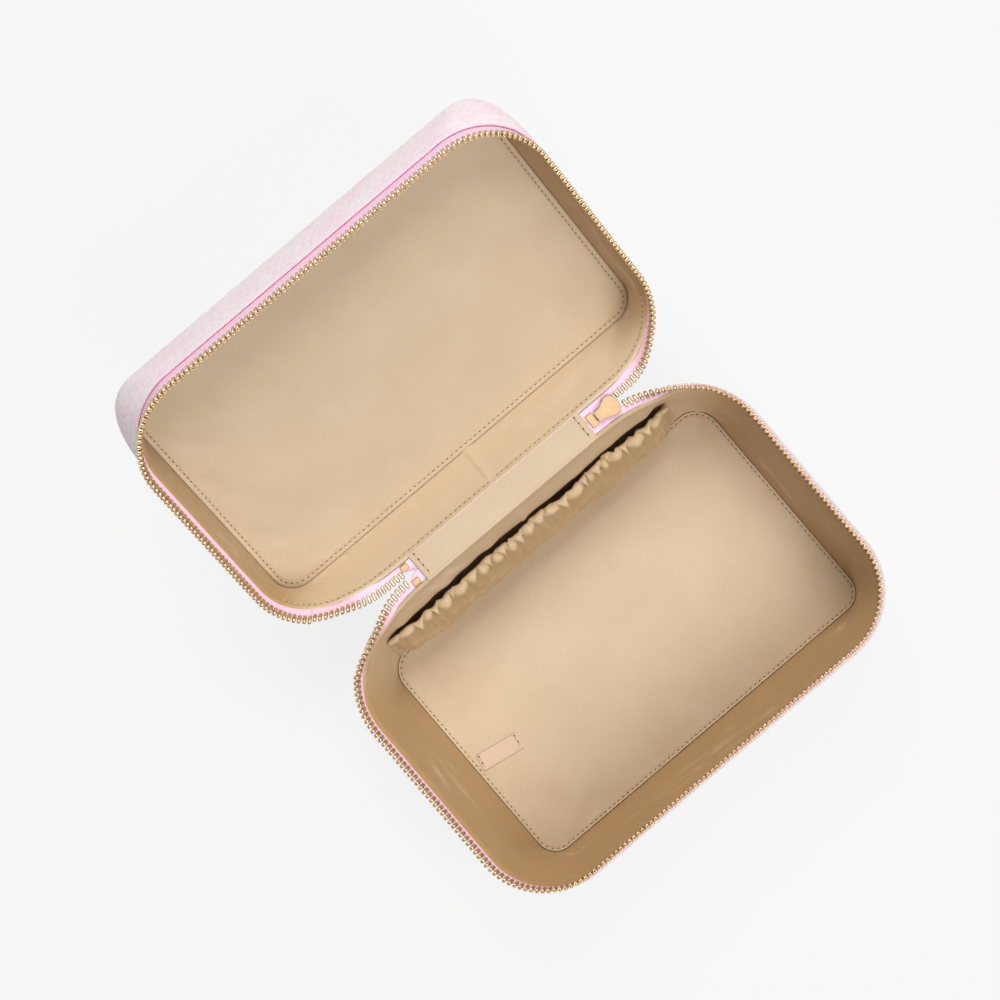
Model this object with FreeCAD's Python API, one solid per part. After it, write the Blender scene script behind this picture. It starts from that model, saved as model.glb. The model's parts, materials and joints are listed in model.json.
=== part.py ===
import FreeCAD, Part
import math
import os

# Zip-around makeup train case, shown open, in millimetres.
# Origin: centre of the base's underside. +X runs along the hinge to the slider's end,
# +Y runs back to the hinge, +Z is up.
# Every piece is drawn with the case closed; the lid and the hinge strip are then folded
# open, half of the angle at each of the two fold lines.

V = FreeCAD.Vector

# Mouth of the case, measured at the edge of the lining
RIM_W = 211.3
RIM_D = 143.0
R_FRONT = 31.0
R_BACK = 36.0
BASE_R_PANEL = 30.0
LID_R_PANEL = 18.0
RIM_Z = 63.0
BAND = 15.6
LID_RIM_Z = RIM_Z + BAND
OPEN_EACH = 73.7

# Layers of the walls, from outside to inside
LEATHER = 1.2
BOARD = 1.0
LINING = 0.6
LINING_STEPS = 4
EDGE = 2.8

# Outer form, as (height from the rim, distance outside the rim line)
BASE_WALL = [(-58.5, 0.4), (-45.0, 3.9), (-29.0, 5.6), (-14.0, 5.0), (0.0, EDGE)]
BASE_EDGE = [(-63.0, -4.6), (-62.2, -2.2), (-60.6, -0.5), (-58.5, 0.4)]
# The hinge wall of the base is flatter: how far it stands in from that form
BASE_FLAT = [(-58.5, 0.0), (-45.0, 3.4), (-29.0, 5.4), (-14.0, 4.7), (0.0, 0.0)]
LID_WALL = [(-25.2, 0.4), (-18.0, 2.2), (-9.0, 3.1), (0.0, EDGE)]
LID_EDGE = [(-29.6, -5.2), (-28.8, -2.8), (-27.3, -1.0), (-25.2, 0.4)]

# Padded panels: left, right, front and back edges, and thickness
FLOOR_PAD = (-89.9, 96.2, -61.8, 54.6)
FLOOR_PAD_H = (-58.3, -53.9)
LID_PAD = (-101.3, 101.3, -64.5, 64.4)
LID_PAD_H = (-27.0, -24.2)
PAD_GAP = 1.1
PAD_R_FRONT = 10.0
PAD_R_BACK = 12.0

# Zip
TAPE = 0.6
TAPE_MID = 1.1
TAPE_TOP = 4.3
TAPE_FOOT = -5.4
LEAN_LEFT = 2.5
LEAN_RIGHT = 0.3
LEAN_FRONT = 0.1
LEAN_BACK = 0.3
PITCH = 2.5
TOOTH_THICK = 1.1
TOOTH_HALF = 1.3
TOOTH_TIP = 7.2
TOOTH_FOOT = 2.7
TOOTH_SLOT = 0.42
TAIL_SLOT = 0.58

# Hinge strip and zip ends
STRIP_HALF = 49.0
STRIP_THICK = 2.5
STOP_X = 51.8
SLIDER_X0 = 54.0
SLIDER_LEN = 12.0

# Gathered pocket on the hinge wall
POCKET_HALF = 82.0
POCKET_PUCKERS = 20
HEM_Y = 61.0
HEM_Z = 49.0
HEM_R = 2.3

# Carry strap on the lid
STRAP_W = 18.0
STRAP_T = 3.4
STRAP_RISE = 17.0
STRAP_FLAT_X = 54.0
STRAP_END_X = 75.0

os.makedirs("parts", exist_ok=True)


def base_z(h):
    return RIM_Z + h


def lid_z(h):
    return LID_RIM_Z - h


def rim_box(off):
    half_w = RIM_W / 2 + off
    half_d = RIM_D / 2 + off
    return (-half_w, half_w, -half_d, half_d)


def grow(box, off):
    return (box[0] - off, box[1] + off, box[2] - off, box[3] + off)


def corner_arcs(box, rf, rb):
    """Centre, radius and start angle of the corners, going round from the back right."""
    x0, x1, y0, y1 = box
    return [
        (x1 - rb, y1 - rb, rb, 90.0),
        (x1 - rf, y0 + rf, rf, 0.0),
        (x0 + rf, y0 + rf, rf, -90.0),
        (x0 + rb, y1 - rb, rb, -180.0),
    ]


def on_arc(arc, share, z):
    cx, cy, r, start = arc
    a = math.radians(start - 90.0 * share)
    return V(cx + r * math.cos(a), cy + r * math.sin(a), z)


def ring(box, rf, rb, z):
    """Closed rounded rectangle."""
    arcs = corner_arcs(box, rf, rb)
    edges = []
    for i, arc in enumerate(arcs):
        p = [on_arc(arc, s, z) for s in (0.0, 0.5, 1.0)]
        edges.append(Part.Arc(p[0], p[1], p[2]).toShape())
        nxt = on_arc(arcs[(i + 1) % 4], 0.0, z)
        edges.append(Part.LineSegment(p[2], nxt).toShape())
    return Part.Wire(edges)


def rim_ring(off, z):
    return ring(rim_box(off), R_FRONT + off, R_BACK + off, z)


def at_height(sections, h):
    for (h0, o0), (h1, o1) in zip(sections, sections[1:]):
        if h0 <= h <= h1:
            return o0 + (o1 - o0) * (h - h0) / (h1 - h0)
    return sections[-1][1]


def wall_ring(off, h, depth, zmap):
    """Outline of a wall; its corners tighten from the rim to the panel at the given depth."""
    k = min(h / depth, 1.0)
    r_panel = BASE_R_PANEL if zmap is base_z else LID_R_PANEL
    rf = R_FRONT + (r_panel - R_FRONT) * k + off
    rb = R_BACK + (r_panel - R_BACK) * k + off
    x0, x1, y0, y1 = rim_box(off)
    if zmap is base_z and h > depth:
        y1 -= at_height(BASE_FLAT, h)
    return ring((x0, x1, y0, y1), rf, rb, zmap(h))


def offset_loft(sections, inward, depth, zmap):
    rings = [wall_ring(off - inward, h, depth, zmap) for h, off in sections]
    return Part.makeLoft(rings, True, True)


def clip(sections, h_low, h_high):
    """The part of a wall profile between two heights."""
    mid = [(h, o) for h, o in sections if h_low < h < h_high]
    ends = [(h_low, at_height(sections, h_low)), (h_high, at_height(sections, h_high))]
    return [ends[0]] + mid + [ends[1]]


def wall_layer(sections, outer, inner, depth, zmap):
    return offset_loft(sections, outer, depth, zmap).cut(offset_loft(sections, inner, depth, zmap))


def lining_section(pad, h, h_floor, grow_by):
    """Inside face of the wall lining at one height: from the rim in to the padded panel."""
    share = (h - h_floor) / (0.0 - h_floor)
    rim = rim_box(0.0)
    floor = grow(pad, PAD_GAP)
    box = [f + (r - f) * share for f, r in zip(floor, rim)]
    turn = 1 - (1 - share) ** 2
    rf = PAD_R_FRONT + PAD_GAP + (R_FRONT - PAD_R_FRONT - PAD_GAP) * turn
    rb = PAD_R_BACK + PAD_GAP + (R_BACK - PAD_R_BACK - PAD_GAP) * turn
    return grow(box, grow_by), rf + grow_by, rb + grow_by


def lining_loft(pad, h_low, h_high, h_floor, grow_by, zmap):
    rings = []
    for step in range(LINING_STEPS + 1):
        h = h_low + (h_high - h_low) * step / LINING_STEPS
        box, rf, rb = lining_section(pad, h, h_floor, grow_by)
        rings.append(ring(box, rf, rb, zmap(h)))
    return Part.makeLoft(rings, True, True)


def fold_cut(zmap, out):
    """Wedge that bevels the outside of the hinge wall so that it can fold back."""
    y0 = RIM_D / 2
    pts = [V(-130, y0, zmap(0.0)), V(-130, y0 + 12, zmap(-12.0)), V(-130, y0 + 12, zmap(out)), V(-130, y0, zmap(out))]
    return Part.Face(Part.makePolygon(pts + pts[:1])).extrude(V(260, 0, 0))


def wall_pieces(wall, edge, pad, h_floor, zmap):
    """Outer leather, panel leather, board, foam and lining of one half of the case."""
    depth = wall[0][0]
    foam_top = TAPE_FOOT - 0.4
    bevel = fold_cut(zmap, 4.0)
    leather = wall_layer(wall, 0.0, LEATHER, depth, zmap).cut(bevel)
    board_part = clip(wall, depth + 0.2, foam_top)
    board = wall_layer(board_part, LEATHER + 0.05, LEATHER + BOARD, depth, zmap)
    hollow = lining_loft(pad, depth + 0.2, foam_top, h_floor, LINING + 0.3, zmap)
    foam = offset_loft(board_part, LEATHER + BOARD + 0.1, depth, zmap).cut(hollow)
    skin = lining_loft(pad, h_floor, 0.0, h_floor, LINING, zmap)
    lining = skin.cut(lining_loft(pad, h_floor, 0.0, h_floor, 0.0, zmap)).cut(bevel)
    tray = offset_loft(edge, 0.0, depth, zmap)
    inner = [(edge[0][0] + LEATHER, edge[0][1] - 0.2)]
    inner += [(h + 0.5, off - LEATHER) for h, off in edge[1:-1]]
    inner += [(edge[-1][0] + 0.1, edge[-1][1] - LEATHER)]
    panel = tray.cut(offset_loft(inner, 0.0, depth, zmap))
    return leather, panel, board, foam, lining


def stiff_panel(edge, thick, zmap):
    h0 = edge[0][0] + LEATHER + 0.1
    inset = edge[1][1] - LEATHER - 0.4
    rings = [wall_ring(inset, h, h, zmap) for h in (h0, h0 + thick)]
    return Part.makeLoft(rings, True, True)


def padded_panel(box, h_low, h_high, zmap):
    """Wrapped board with a rounded, drawn-in edge, a sewn channel and a low crown."""
    rise = h_high - h_low
    profile = [(0.02, 0.7), (0.35, 0.0), (0.68, 0.2), (0.86, 0.9), (0.91, 1.7)]
    profile += [(0.84, 2.4), (0.91, 3.1), (0.97, 13.0), (1.0, 30.0)]
    rings = []
    for share, inset in profile:
        rf = max(PAD_R_FRONT - inset, 1.5)
        rb = max(PAD_R_BACK - inset, 1.5)
        rings.append(ring(grow(box, -inset), rf, rb, zmap(h_low + rise * share)))
    return Part.makeLoft(rings, True, True)


def rim_binding(zmap):
    """Painted edge of the leather, all round but at the hinge."""
    outer = Part.makeLoft([rim_ring(EDGE, zmap(h)) for h in (0.05, 0.4)], True, True)
    inner = Part.makeLoft([rim_ring(2.05, zmap(h)) for h in (0.05, 0.4)], True, True)
    gap = Part.makeBox(RIM_W - 2 * R_BACK + 20, 12, 4)
    gap.translate(V(-(RIM_W / 2 - R_BACK) - 10, RIM_D / 2 - 2, zmap(0.0) - 2))
    return outer.cut(inner).cut(gap)


def tape_box(h, off):
    """Outline of the tape at one height above the rim; the tape leans out as it rises."""
    k = max(h, 0.0) / TAPE_TOP
    x0, x1, y0, y1 = rim_box(off)
    return (x0 - LEAN_LEFT * k, x1 + LEAN_RIGHT * k, y0 - LEAN_FRONT * k, y1 + LEAN_BACK * k)


def tape_arcs(h, off):
    k = max(h, 0.0) / TAPE_TOP
    box = tape_box(h, off)
    return corner_arcs(box, R_FRONT + off + 0.8 * k, R_BACK + off + 0.8 * k)


def tape_stretch(h, off, z):
    """Sides of the open zip path: half corner, right, corner, front, corner, left, half corner."""
    arcs = tape_arcs(h, off)
    runs = [("arc", arcs[0], 0.5, 1.0)]
    for i in (1, 2):
        runs.append(("line", on_arc(arcs[i - 1], 1.0, z), on_arc(arcs[i], 0.0, z)))
        runs.append(("arc", arcs[i], 0.0, 1.0))
    runs.append(("line", on_arc(arcs[2], 1.0, z), on_arc(arcs[3], 0.0, z)))
    runs.append(("arc", arcs[3], 0.0, 0.5))
    return runs


def run_point(run, share, z):
    if run[0] == "line":
        return run[1] + (run[2] - run[1]) * share
    return on_arc(run[1], run[2] + (run[3] - run[2]) * share, z)


def run_length(run):
    if run[0] == "line":
        return (run[2] - run[1]).Length
    return run[1][2] * math.pi / 2 * (run[3] - run[2])


def run_edges(runs, z):
    edges = []
    for run in runs:
        if run[0] == "line":
            edges.append(Part.LineSegment(run[1], run[2]).toShape())
        else:
            p = [run_point(run, s, z) for s in (0.0, 0.5, 1.0)]
            edges.append(Part.Arc(p[0], p[1], p[2]).toShape())
    return edges


def tape_wire(h, zmap):
    z = zmap(h)
    outer = tape_stretch(h, TAPE_MID + TAPE / 2, z)
    inner = tape_stretch(h, TAPE_MID - TAPE / 2, z)
    ends = [(run_point(outer[-1], 1.0, z), run_point(inner[-1], 1.0, z))]
    ends.append((run_point(inner[0], 0.0, z), run_point(outer[0], 0.0, z)))
    edges = run_edges(outer, z)
    edges.append(Part.LineSegment(ends[0][0], ends[0][1]).toShape())
    edges += run_edges(inner, z)
    edges.append(Part.LineSegment(ends[1][0], ends[1][1]).toShape())
    return Part.Wire(Part.__sortEdges__(edges))


def zip_tape(zmap):
    low = Part.makeLoft([tape_wire(TAPE_FOOT, zmap), tape_wire(0.0, zmap)], True, True)
    high = Part.makeLoft([tape_wire(0.0, zmap), tape_wire(TAPE_TOP, zmap)], True, True)
    return low.fuse(high)


def tooth(foot, up, along, slot):
    """One tooth: a head with two legs that clamp the edge of the tape. up is 1 mm of height."""
    along = along / along.Length
    out = along.cross(up)
    out = out / out.Length
    profile = [(-TOOTH_HALF, TOOTH_FOOT), (-slot, TOOTH_FOOT), (-slot, TAPE_TOP + 0.1)]
    profile += [(slot, TAPE_TOP + 0.1), (slot, TOOTH_FOOT), (TOOTH_HALF, TOOTH_FOOT)]
    profile += [(TOOTH_HALF, TOOTH_TIP - 1.3), (0.7, TOOTH_TIP), (-0.7, TOOTH_TIP), (-TOOTH_HALF, TOOTH_TIP - 1.3)]
    start = foot - along * (TOOTH_THICK / 2)
    pts = [start + out * n + up * e for n, e in profile]
    return Part.Face(Part.makePolygon(pts + pts[:1])).extrude(along * TOOTH_THICK)


def zip_teeth(zmap, shift):
    """Teeth along the main run of one tape; the two halves are half a pitch apart."""
    low = tape_stretch(0.0, TAPE_MID, zmap(0.0))
    high = tape_stretch(TAPE_TOP, TAPE_MID, zmap(TAPE_TOP))
    lengths = [run_length(r) for r in high]
    total = sum(lengths)
    count = int((total - 2.0) / PITCH)
    step = (total - 2.0) / count
    solids = []
    for k in range(count):
        s = 1.0 + (k + shift) * step
        i = 0
        while s > lengths[i] and i < len(lengths) - 1:
            s -= lengths[i]
            i += 1
        share = min(s / lengths[i], 1.0)
        foot = run_point(low[i], share, zmap(0.0))
        top = run_point(high[i], share, zmap(TAPE_TOP))
        ahead = run_point(high[i], share + 0.004, zmap(TAPE_TOP))
        behind = run_point(high[i], share - 0.004, zmap(TAPE_TOP))
        solids.append(tooth(foot, (top - foot) / TAPE_TOP, ahead - behind, TOOTH_SLOT))
    return Part.makeCompound(solids)


def fold_strip(shape):
    shape = shape.copy()
    shape.rotate(V(0, RIM_D / 2, RIM_Z), V(1, 0, 0), -OPEN_EACH)
    return shape


def fold_lid(shape):
    shape = shape.copy()
    shape.rotate(V(0, RIM_D / 2, LID_RIM_Z), V(1, 0, 0), -OPEN_EACH)
    return fold_strip(shape)


def strip_axes():
    """Width and outward directions of the opened hinge strip."""
    a = math.radians(90.0 - OPEN_EACH)
    return V(0, math.cos(a), math.sin(a)), V(0, math.sin(a), -math.cos(a))


def tail_station(share, side):
    """Foot and rising direction of the base tape, from the back corner to the zip's end."""
    wide, out = strip_axes()
    arc_part = 0.62
    flat_foot = V(0, RIM_D / 2, RIM_Z) + out * TAPE_MID + wide * 0.5
    lean = LEAN_RIGHT if side > 0 else LEAN_LEFT
    a = math.radians(45.0 + 45.0 * min(share / arc_part, 1.0))
    centre_x = RIM_W / 2 - R_BACK
    centre_y = RIM_D / 2 - R_BACK
    turn = min(share / 0.9, 1.0)
    ease = turn * turn * (3 - 2 * turn)
    r = R_BACK + TAPE_MID
    foot = V(centre_x + r * math.cos(a), centre_y + r * math.sin(a), RIM_Z + 0.75)
    if share > arc_part:
        run = (share - arc_part) / (1 - arc_part)
        foot.x = centre_x + (STRIP_HALF + 0.4 - centre_x) * run
    foot = foot * (1 - ease) + V(foot.x, flat_foot.y, flat_foot.z) * ease
    tilt = 0.5 * (lean + LEAN_BACK) / TAPE_TOP
    upright = V(math.cos(a) * tilt, math.sin(a) * tilt, 1.0)
    up = upright * (1 - ease) + wide * ease
    up = up / up.Length
    along = V(-math.sin(a), math.cos(a), 0) if share < arc_part else V(-1, 0, 0)
    return V(foot.x * side, foot.y, foot.z), V(up.x * side, up.y, up.z), V(along.x * side, along.y, 0)


def tail_loft(side, inner, outer, margin):
    """Ribbon along the end of the base tape, from inner to outer of its middle and margin wider."""
    wires = []
    for k in range(12):
        foot, up, along = tail_station(k / 11.0, side)
        out = along.cross(up)
        out = out * (side / out.Length)
        low = foot - up * margin
        high = foot + up * (TAPE_TOP - 0.5 + margin)
        pts = [low + out * inner, low + out * outer, high + out * outer, high + out * inner]
        wires.append(Part.makePolygon(pts + pts[:1]))
    return Part.makeLoft(wires, True, True)


def tape_tail(side):
    """End of the base tape: it stands up at the corner and lies flat at the hinge strip."""
    return tail_loft(side, -TAPE / 2, TAPE / 2, 0.0)


def tail_room():
    """Room above and beside the tape ends, which the leather rim leaves free for them."""
    return Part.makeCompound([tail_loft(side, -3.0, TAPE / 2 + 0.25, 0.3) for side in (-1, 1)])


def make_room(shape, room):
    """Shape without the room; crumbs that the cut leaves behind are dropped."""
    return Part.makeCompound([piece for piece in shape.cut(room).Solids if piece.Volume > 0.05])


def tail_slot():
    """Slot that the stops' jaws leave for the tape ends."""
    return Part.makeCompound([tail_loft(side, -TAPE / 2 - 0.1, TAPE / 2 + 0.1, 0.1) for side in (-1, 1)])


def tail_teeth(side):
    solids = []
    limit = SLIDER_X0 + SLIDER_LEN + 1.2 if side > 0 else STOP_X + 4.6
    share = 0.03
    last = None
    while share < 1.0:
        foot, up, along = tail_station(share, side)
        place = foot + up * TAPE_TOP
        if last is None or (place - last).Length >= PITCH:
            if abs(place.x) < limit:
                break
            solids.append(tooth(foot - up * 0.5, up, along, TAIL_SLOT))
            last = place
        share += 0.002
    return Part.makeCompound(solids)


def mirror_to_lid(shape):
    """The lid's side of the open hinge is the base's side mirrored about the strip's middle."""
    wide, out = strip_axes()
    return shape.mirror(V(0, RIM_D / 2, RIM_Z) + wide * (BAND / 2), wide)


def strip_layer(inner, thick, clear):
    y0 = RIM_D / 2 + inner
    layer = Part.makeBox(2 * STRIP_HALF, thick, BAND - 2 * clear)
    layer.translate(V(-STRIP_HALF, y0, RIM_Z + clear))
    return layer


def zip_stop(x, height, length, width):
    stop = Part.makeBox(length, 2.8, width)
    stop = stop.makeFillet(0.5, stop.Edges)
    stop.translate(V(x - length / 2, RIM_D / 2 + TAPE_MID - 1.4, RIM_Z + height - width / 2))
    return stop


def slider_plate(y, thick):
    """Plate with wide shoulders where the halves enter and a narrow tail where the chain leaves."""
    mid = RIM_Z + BAND / 2
    half = [(0.0, 2.6), (3.2, 2.9), (6.2, 4.2), (8.6, 4.75), (10.6, 4.4), (SLIDER_LEN, 2.4)]
    pts = [V(SLIDER_X0 + x, y, mid + w) for x, w in half]
    pts += [V(SLIDER_X0 + x, y, mid - w) for x, w in reversed(half)]
    return Part.Face(Part.makePolygon(pts + pts[:1])).extrude(V(0, thick, 0))


def zip_slider():
    mid = RIM_Z + BAND / 2
    y0 = RIM_D / 2 + TAPE_MID
    body = slider_plate(y0 - 2.7, 1.1).fuse(slider_plate(y0 + 1.6, 1.1))
    wedge = [V(7.2, 0, 0), V(9.6, 0, 1.3), (V(11.6, 0, 0.9)), V(11.6, 0, -0.9), V(9.6, 0, -1.3)]
    pts = [V(SLIDER_X0, y0 - 1.7, mid) + w for w in wedge]
    body = body.fuse(Part.Face(Part.makePolygon(pts + pts[:1])).extrude(V(0, 3.4, 0)))
    for sign in (-1, 1):
        for y in (y0 - 1.7, y0 + 0.75):
            rail = Part.makeBox(3.6, 0.95, 0.7)
            rail.translate(V(SLIDER_X0 + 0.4, y, mid + sign * 2.2 - 0.35))
            body = body.fuse(rail)
    return body.removeSplitter()


def slider_bridge():
    """Arch on the slider's outer face that holds the pull."""
    y0 = RIM_D / 2 + TAPE_MID + 2.7
    mid = RIM_Z + BAND / 2
    pts = [(2.2, 0.02), (2.2, 2.3), (3.4, 3.5), (8.2, 3.5), (9.4, 2.3), (9.4, 0.02)]
    pts += [(8.0, 0.02), (8.0, 2.1), (7.7, 2.4), (3.9, 2.4), (3.6, 2.1), (3.6, 0.02)]
    outline = [V(SLIDER_X0 + x, y0 + y, mid - 1.1) for x, y in pts]
    return Part.Face(Part.makePolygon(outline + outline[:1])).extrude(V(0, 0, 2.2))


def zip_pull():
    """Tab whose cross bar runs under the slider's arch; it hangs straight off the slider."""
    mid = RIM_Z + BAND / 2
    x = SLIDER_X0 + 5.8
    y = RIM_D / 2 + TAPE_MID + 2.7 + 1.2
    half = [(-0.75, 2.6), (7.0, 3.0), (20.0, 3.6), (24.0, 3.0), (25.5, 1.4)]
    pts = [V(x - 0.7, y + a, mid + w) for a, w in half]
    pts += [V(x - 0.7, y + a, mid - w) for a, w in reversed(half)]
    tab = Part.Face(Part.makePolygon(pts + pts[:1])).extrude(V(1.4, 0, 0))
    slot = Part.makeBox(4, 5.2, 3.0)
    slot.translate(V(x - 2, y + 0.75, mid - 1.5))
    tab = tab.cut(slot)
    hole = Part.makeCylinder(1.3, 6, V(x - 3, y + 21.0, mid), V(1, 0, 0))
    return tab.cut(hole)


def hinge_wall_y(x, z):
    """Inside face of the base lining on the hinge side."""
    box, rf, rb = lining_section(FLOOR_PAD, z - RIM_Z, FLOOR_PAD_H[0], 0.0)
    past = max(x - (box[1] - rb), (box[0] + rb) - x, 0.0)
    return box[3] - rb + math.sqrt(max(rb * rb - past * past, 0.0))


def pocket_y(x, z):
    """Front of the gathered pocket: it bellies out above the floor and puckers toward the hem."""
    rise = (z - 10.4) / (HEM_Z - HEM_R - 0.4 - 10.4)
    belly = 56.1 - 14.0 * rise * (1 - rise) * (1 - 0.25 * rise) + (HEM_Y - 1.0 - 56.1) * rise ** 2
    wave = math.cos(2 * math.pi * POCKET_PUCKERS * (x + POCKET_HALF) / (2 * POCKET_HALF))
    slow = math.sin(x * 0.117 + 0.6) + 0.6 * math.sin(x * 0.071 + 2.0)
    front = belly + wave * (0.12 + 0.55 * rise) + slow * 0.6 * rise * (1 - rise)
    k = max((abs(x) - POCKET_HALF + 9.0) / 9.0, 0.0)
    k = k * k * (3 - 2 * k)
    return front * (1 - k) + min(hinge_wall_y(x, z) - 1.4, front + 6.0) * k


def pocket_panel():
    cols = POCKET_PUCKERS * 6 + 1
    rows = 6
    top = HEM_Z - HEM_R - 0.4
    grid = []
    for i in range(cols):
        x = -POCKET_HALF + 2 * POCKET_HALF * i / (cols - 1)
        zs = [10.4 + (top - 10.4) * j / (rows - 1) for j in range(rows)]
        grid.append([V(x, pocket_y(x, z), z) for z in zs])
    sheet = Part.BSplineSurface()
    sheet.interpolate(grid)
    return sheet.toShape().extrude(V(0, 0.9, 0))


def pocket_hem():
    """Rolled casing of the pocket's mouth, drawn into puckers by the elastic inside it."""
    steps = POCKET_PUCKERS * 6
    half = POCKET_HALF - 3.0
    pts = []
    for i in range(steps + 1):
        x = -half + 2 * half * i / steps
        swell = math.cos(2 * math.pi * POCKET_PUCKERS * i / steps)
        pts.append(V(x, HEM_Y + HEM_R - 0.3 - 0.32 * swell, HEM_Z))
    top = Part.BSplineCurve()
    top.interpolate(pts)
    low = [V(half, HEM_Y + 1.05, HEM_Z), V(-half, HEM_Y + 1.05, HEM_Z)]
    edges = [top.toShape(), Part.LineSegment(pts[-1], low[0]).toShape()]
    edges += [Part.LineSegment(low[0], low[1]).toShape(), Part.LineSegment(low[1], pts[0]).toShape()]
    face = Part.Face(Part.Wire(edges))
    return face.revolve(V(0, HEM_Y, HEM_Z), V(1, 0, 0), 360)


def pocket_elastic():
    half = POCKET_HALF - 2.0
    return Part.makeCylinder(0.9, 2 * half, V(-half, HEM_Y, HEM_Z), V(1, 0, 0))


def lining_label():
    label = Part.makeBox(21.0, 8.0, 0.45)
    label.translate(V(-10.5, -4.0, 0))
    label.rotate(V(0, 0, 0), V(0, 0, 1), -9.5)
    label.translate(V(-75.6, -8.5, RIM_Z + FLOOR_PAD_H[1] + 0.05))
    return label


def strap_curve(z):
    marks = [(-STRAP_FLAT_X, 0.0), (-46.0, 1.6), (-34.0, 7.6), (-18.0, 14.4), (0.0, STRAP_RISE)]
    marks += [(-x, h) for x, h in reversed(marks[:-1])]
    curve = Part.BSplineCurve()
    ends = [V(1, 0, 0), V(1, 0, 0)]
    points = [V(x, -STRAP_W / 2, z + h) for x, h in marks]
    curve.interpolate(Points=points, InitialTangent=ends[0], FinalTangent=ends[1])
    return points, curve


def handle_strap():
    """Carry strap: flat where it is sewn to the lid, bowed up in the middle."""
    z = LID_RIM_Z - LID_EDGE[0][0] + 0.05
    low_pts, low = strap_curve(z)
    high_pts, high = strap_curve(z + STRAP_T)
    y = -STRAP_W / 2
    ends = [V(STRAP_END_X, y, z), V(STRAP_END_X, y, z + STRAP_T)]
    back = [V(-STRAP_END_X, y, z + STRAP_T), V(-STRAP_END_X, y, z)]
    edges = [low.toShape(), Part.LineSegment(low_pts[-1], ends[0]).toShape()]
    edges += [Part.LineSegment(ends[0], ends[1]).toShape(), Part.LineSegment(ends[1], high_pts[-1]).toShape()]
    edges += [high.toShape(), Part.LineSegment(high_pts[0], back[0]).toShape()]
    edges += [Part.LineSegment(back[0], back[1]).toShape(), Part.LineSegment(back[1], low_pts[0]).toShape()]
    return Part.Face(Part.Wire(Part.__sortEdges__(edges))).extrude(V(0, STRAP_W, 0))


def handle_studs():
    z = LID_RIM_Z - LID_EDGE[0][0] + 0.05 + STRAP_T + 0.02
    solids = []
    for x in (-65.0, 65.0):
        stud = Part.makeCylinder(4.0, 1.5, V(x, 0, z))
        solids.append(stud.makeFillet(0.9, [e for e in stud.Edges if e.CenterOfMass.z > z + 1.4]))
    return Part.makeCompound(solids)


def as_is(shape):
    return shape


def build():
    parts = {}
    halves = [("base", base_z, BASE_WALL, BASE_EDGE, FLOOR_PAD, FLOOR_PAD_H, 3.0, as_is, 0.25)]
    halves.append(("lid", lid_z, LID_WALL, LID_EDGE, LID_PAD, LID_PAD_H, 1.0, fold_lid, 0.75))
    for name, zmap, wall, edge, pad, pad_h, stiff, place, shift in halves:
        leather, panel, board, foam, lining = wall_pieces(wall, edge, pad, pad_h[0], zmap)
        parts[name + "_wall_leather"] = place(leather)
        parts[name + "_panel_leather"] = place(panel)
        parts[name + "_wall_board"] = place(board)
        parts[name + "_wall_foam"] = place(foam)
        parts[name + "_wall_lining"] = place(lining)
        parts[name + "_panel_board"] = place(stiff_panel(edge, stiff, zmap))
        parts[name + "_padded_panel"] = place(padded_panel(pad, pad_h[0], pad_h[1], zmap))
        parts[name + "_rim_edge"] = place(rim_binding(zmap))
        parts[name + "_zip_tape"] = place(zip_tape(zmap))
        parts[name + "_zip_teeth"] = place(zip_teeth(zmap, shift))
    for piece in ("_wall_leather", "_rim_edge"):
        parts["base" + piece] = make_room(parts["base" + piece], tail_room())
        parts["lid" + piece] = make_room(parts["lid" + piece], mirror_to_lid(tail_room()))
    tails = Part.makeCompound([tape_tail(-1), tape_tail(1)])
    teeth = Part.makeCompound([tail_teeth(-1), tail_teeth(1)])
    parts["base_tape_ends"] = tails
    parts["base_end_teeth"] = Part.makeCompound(teeth.Solids)
    parts["lid_tape_ends"] = mirror_to_lid(tails)
    parts["lid_end_teeth"] = Part.makeCompound(mirror_to_lid(teeth).Solids)
    parts["hinge_lining"] = fold_strip(strip_layer(0.02, 0.5, 0.5))
    parts["hinge_board"] = fold_strip(strip_layer(0.57, 0.6, 0.9))
    parts["hinge_leather"] = fold_strip(strip_layer(1.22, STRIP_THICK - 1.22, 1.7))
    parts["zip_bottom_stop"] = fold_strip(zip_stop(STOP_X, BAND / 2, 3.6, 5.4))
    tops = [zip_stop(-STOP_X - 1.6, 3.6, 3.8, 2.9), zip_stop(-STOP_X - 1.6, BAND - 3.6, 3.8, 2.9)]
    stops = make_room(fold_strip(Part.makeCompound(tops)), tail_slot())
    parts["zip_top_stops"] = make_room(stops, mirror_to_lid(tail_slot()))
    parts["zip_slider"] = fold_strip(zip_slider())
    parts["slider_bridge"] = fold_strip(slider_bridge())
    parts["zip_pull"] = fold_strip(zip_pull())
    parts["pocket_panel"] = pocket_panel()
    parts["pocket_hem"] = pocket_hem()
    parts["pocket_elastic"] = pocket_elastic()
    parts["lining_label"] = lining_label()
    parts["handle_strap"] = fold_lid(handle_strap())
    parts["handle_studs"] = fold_lid(handle_studs())
    return parts


for node, shape in build().items():
    box = shape.BoundBox
    print(node, len(shape.Solids), shape.isValid(), round(shape.Volume, 1), [round(v, 1) for v in (
        box.XMin, box.XMax, box.YMin, box.YMax, box.ZMin, box.ZMax)])
    shape.exportStep("parts/" + node + ".step")
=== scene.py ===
# %% [markdown]
# # A zip-around makeup train case, shown open
#
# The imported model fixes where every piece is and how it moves. This lesson dresses it: embossed
# leather outside, a soft tan lining inside, padded panels, a gathered pocket and a metal zip. The
# frame is loaded first and its box is kept, so that the dressed case can be measured against it.

# %% Load the frame
import json
import math

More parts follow.
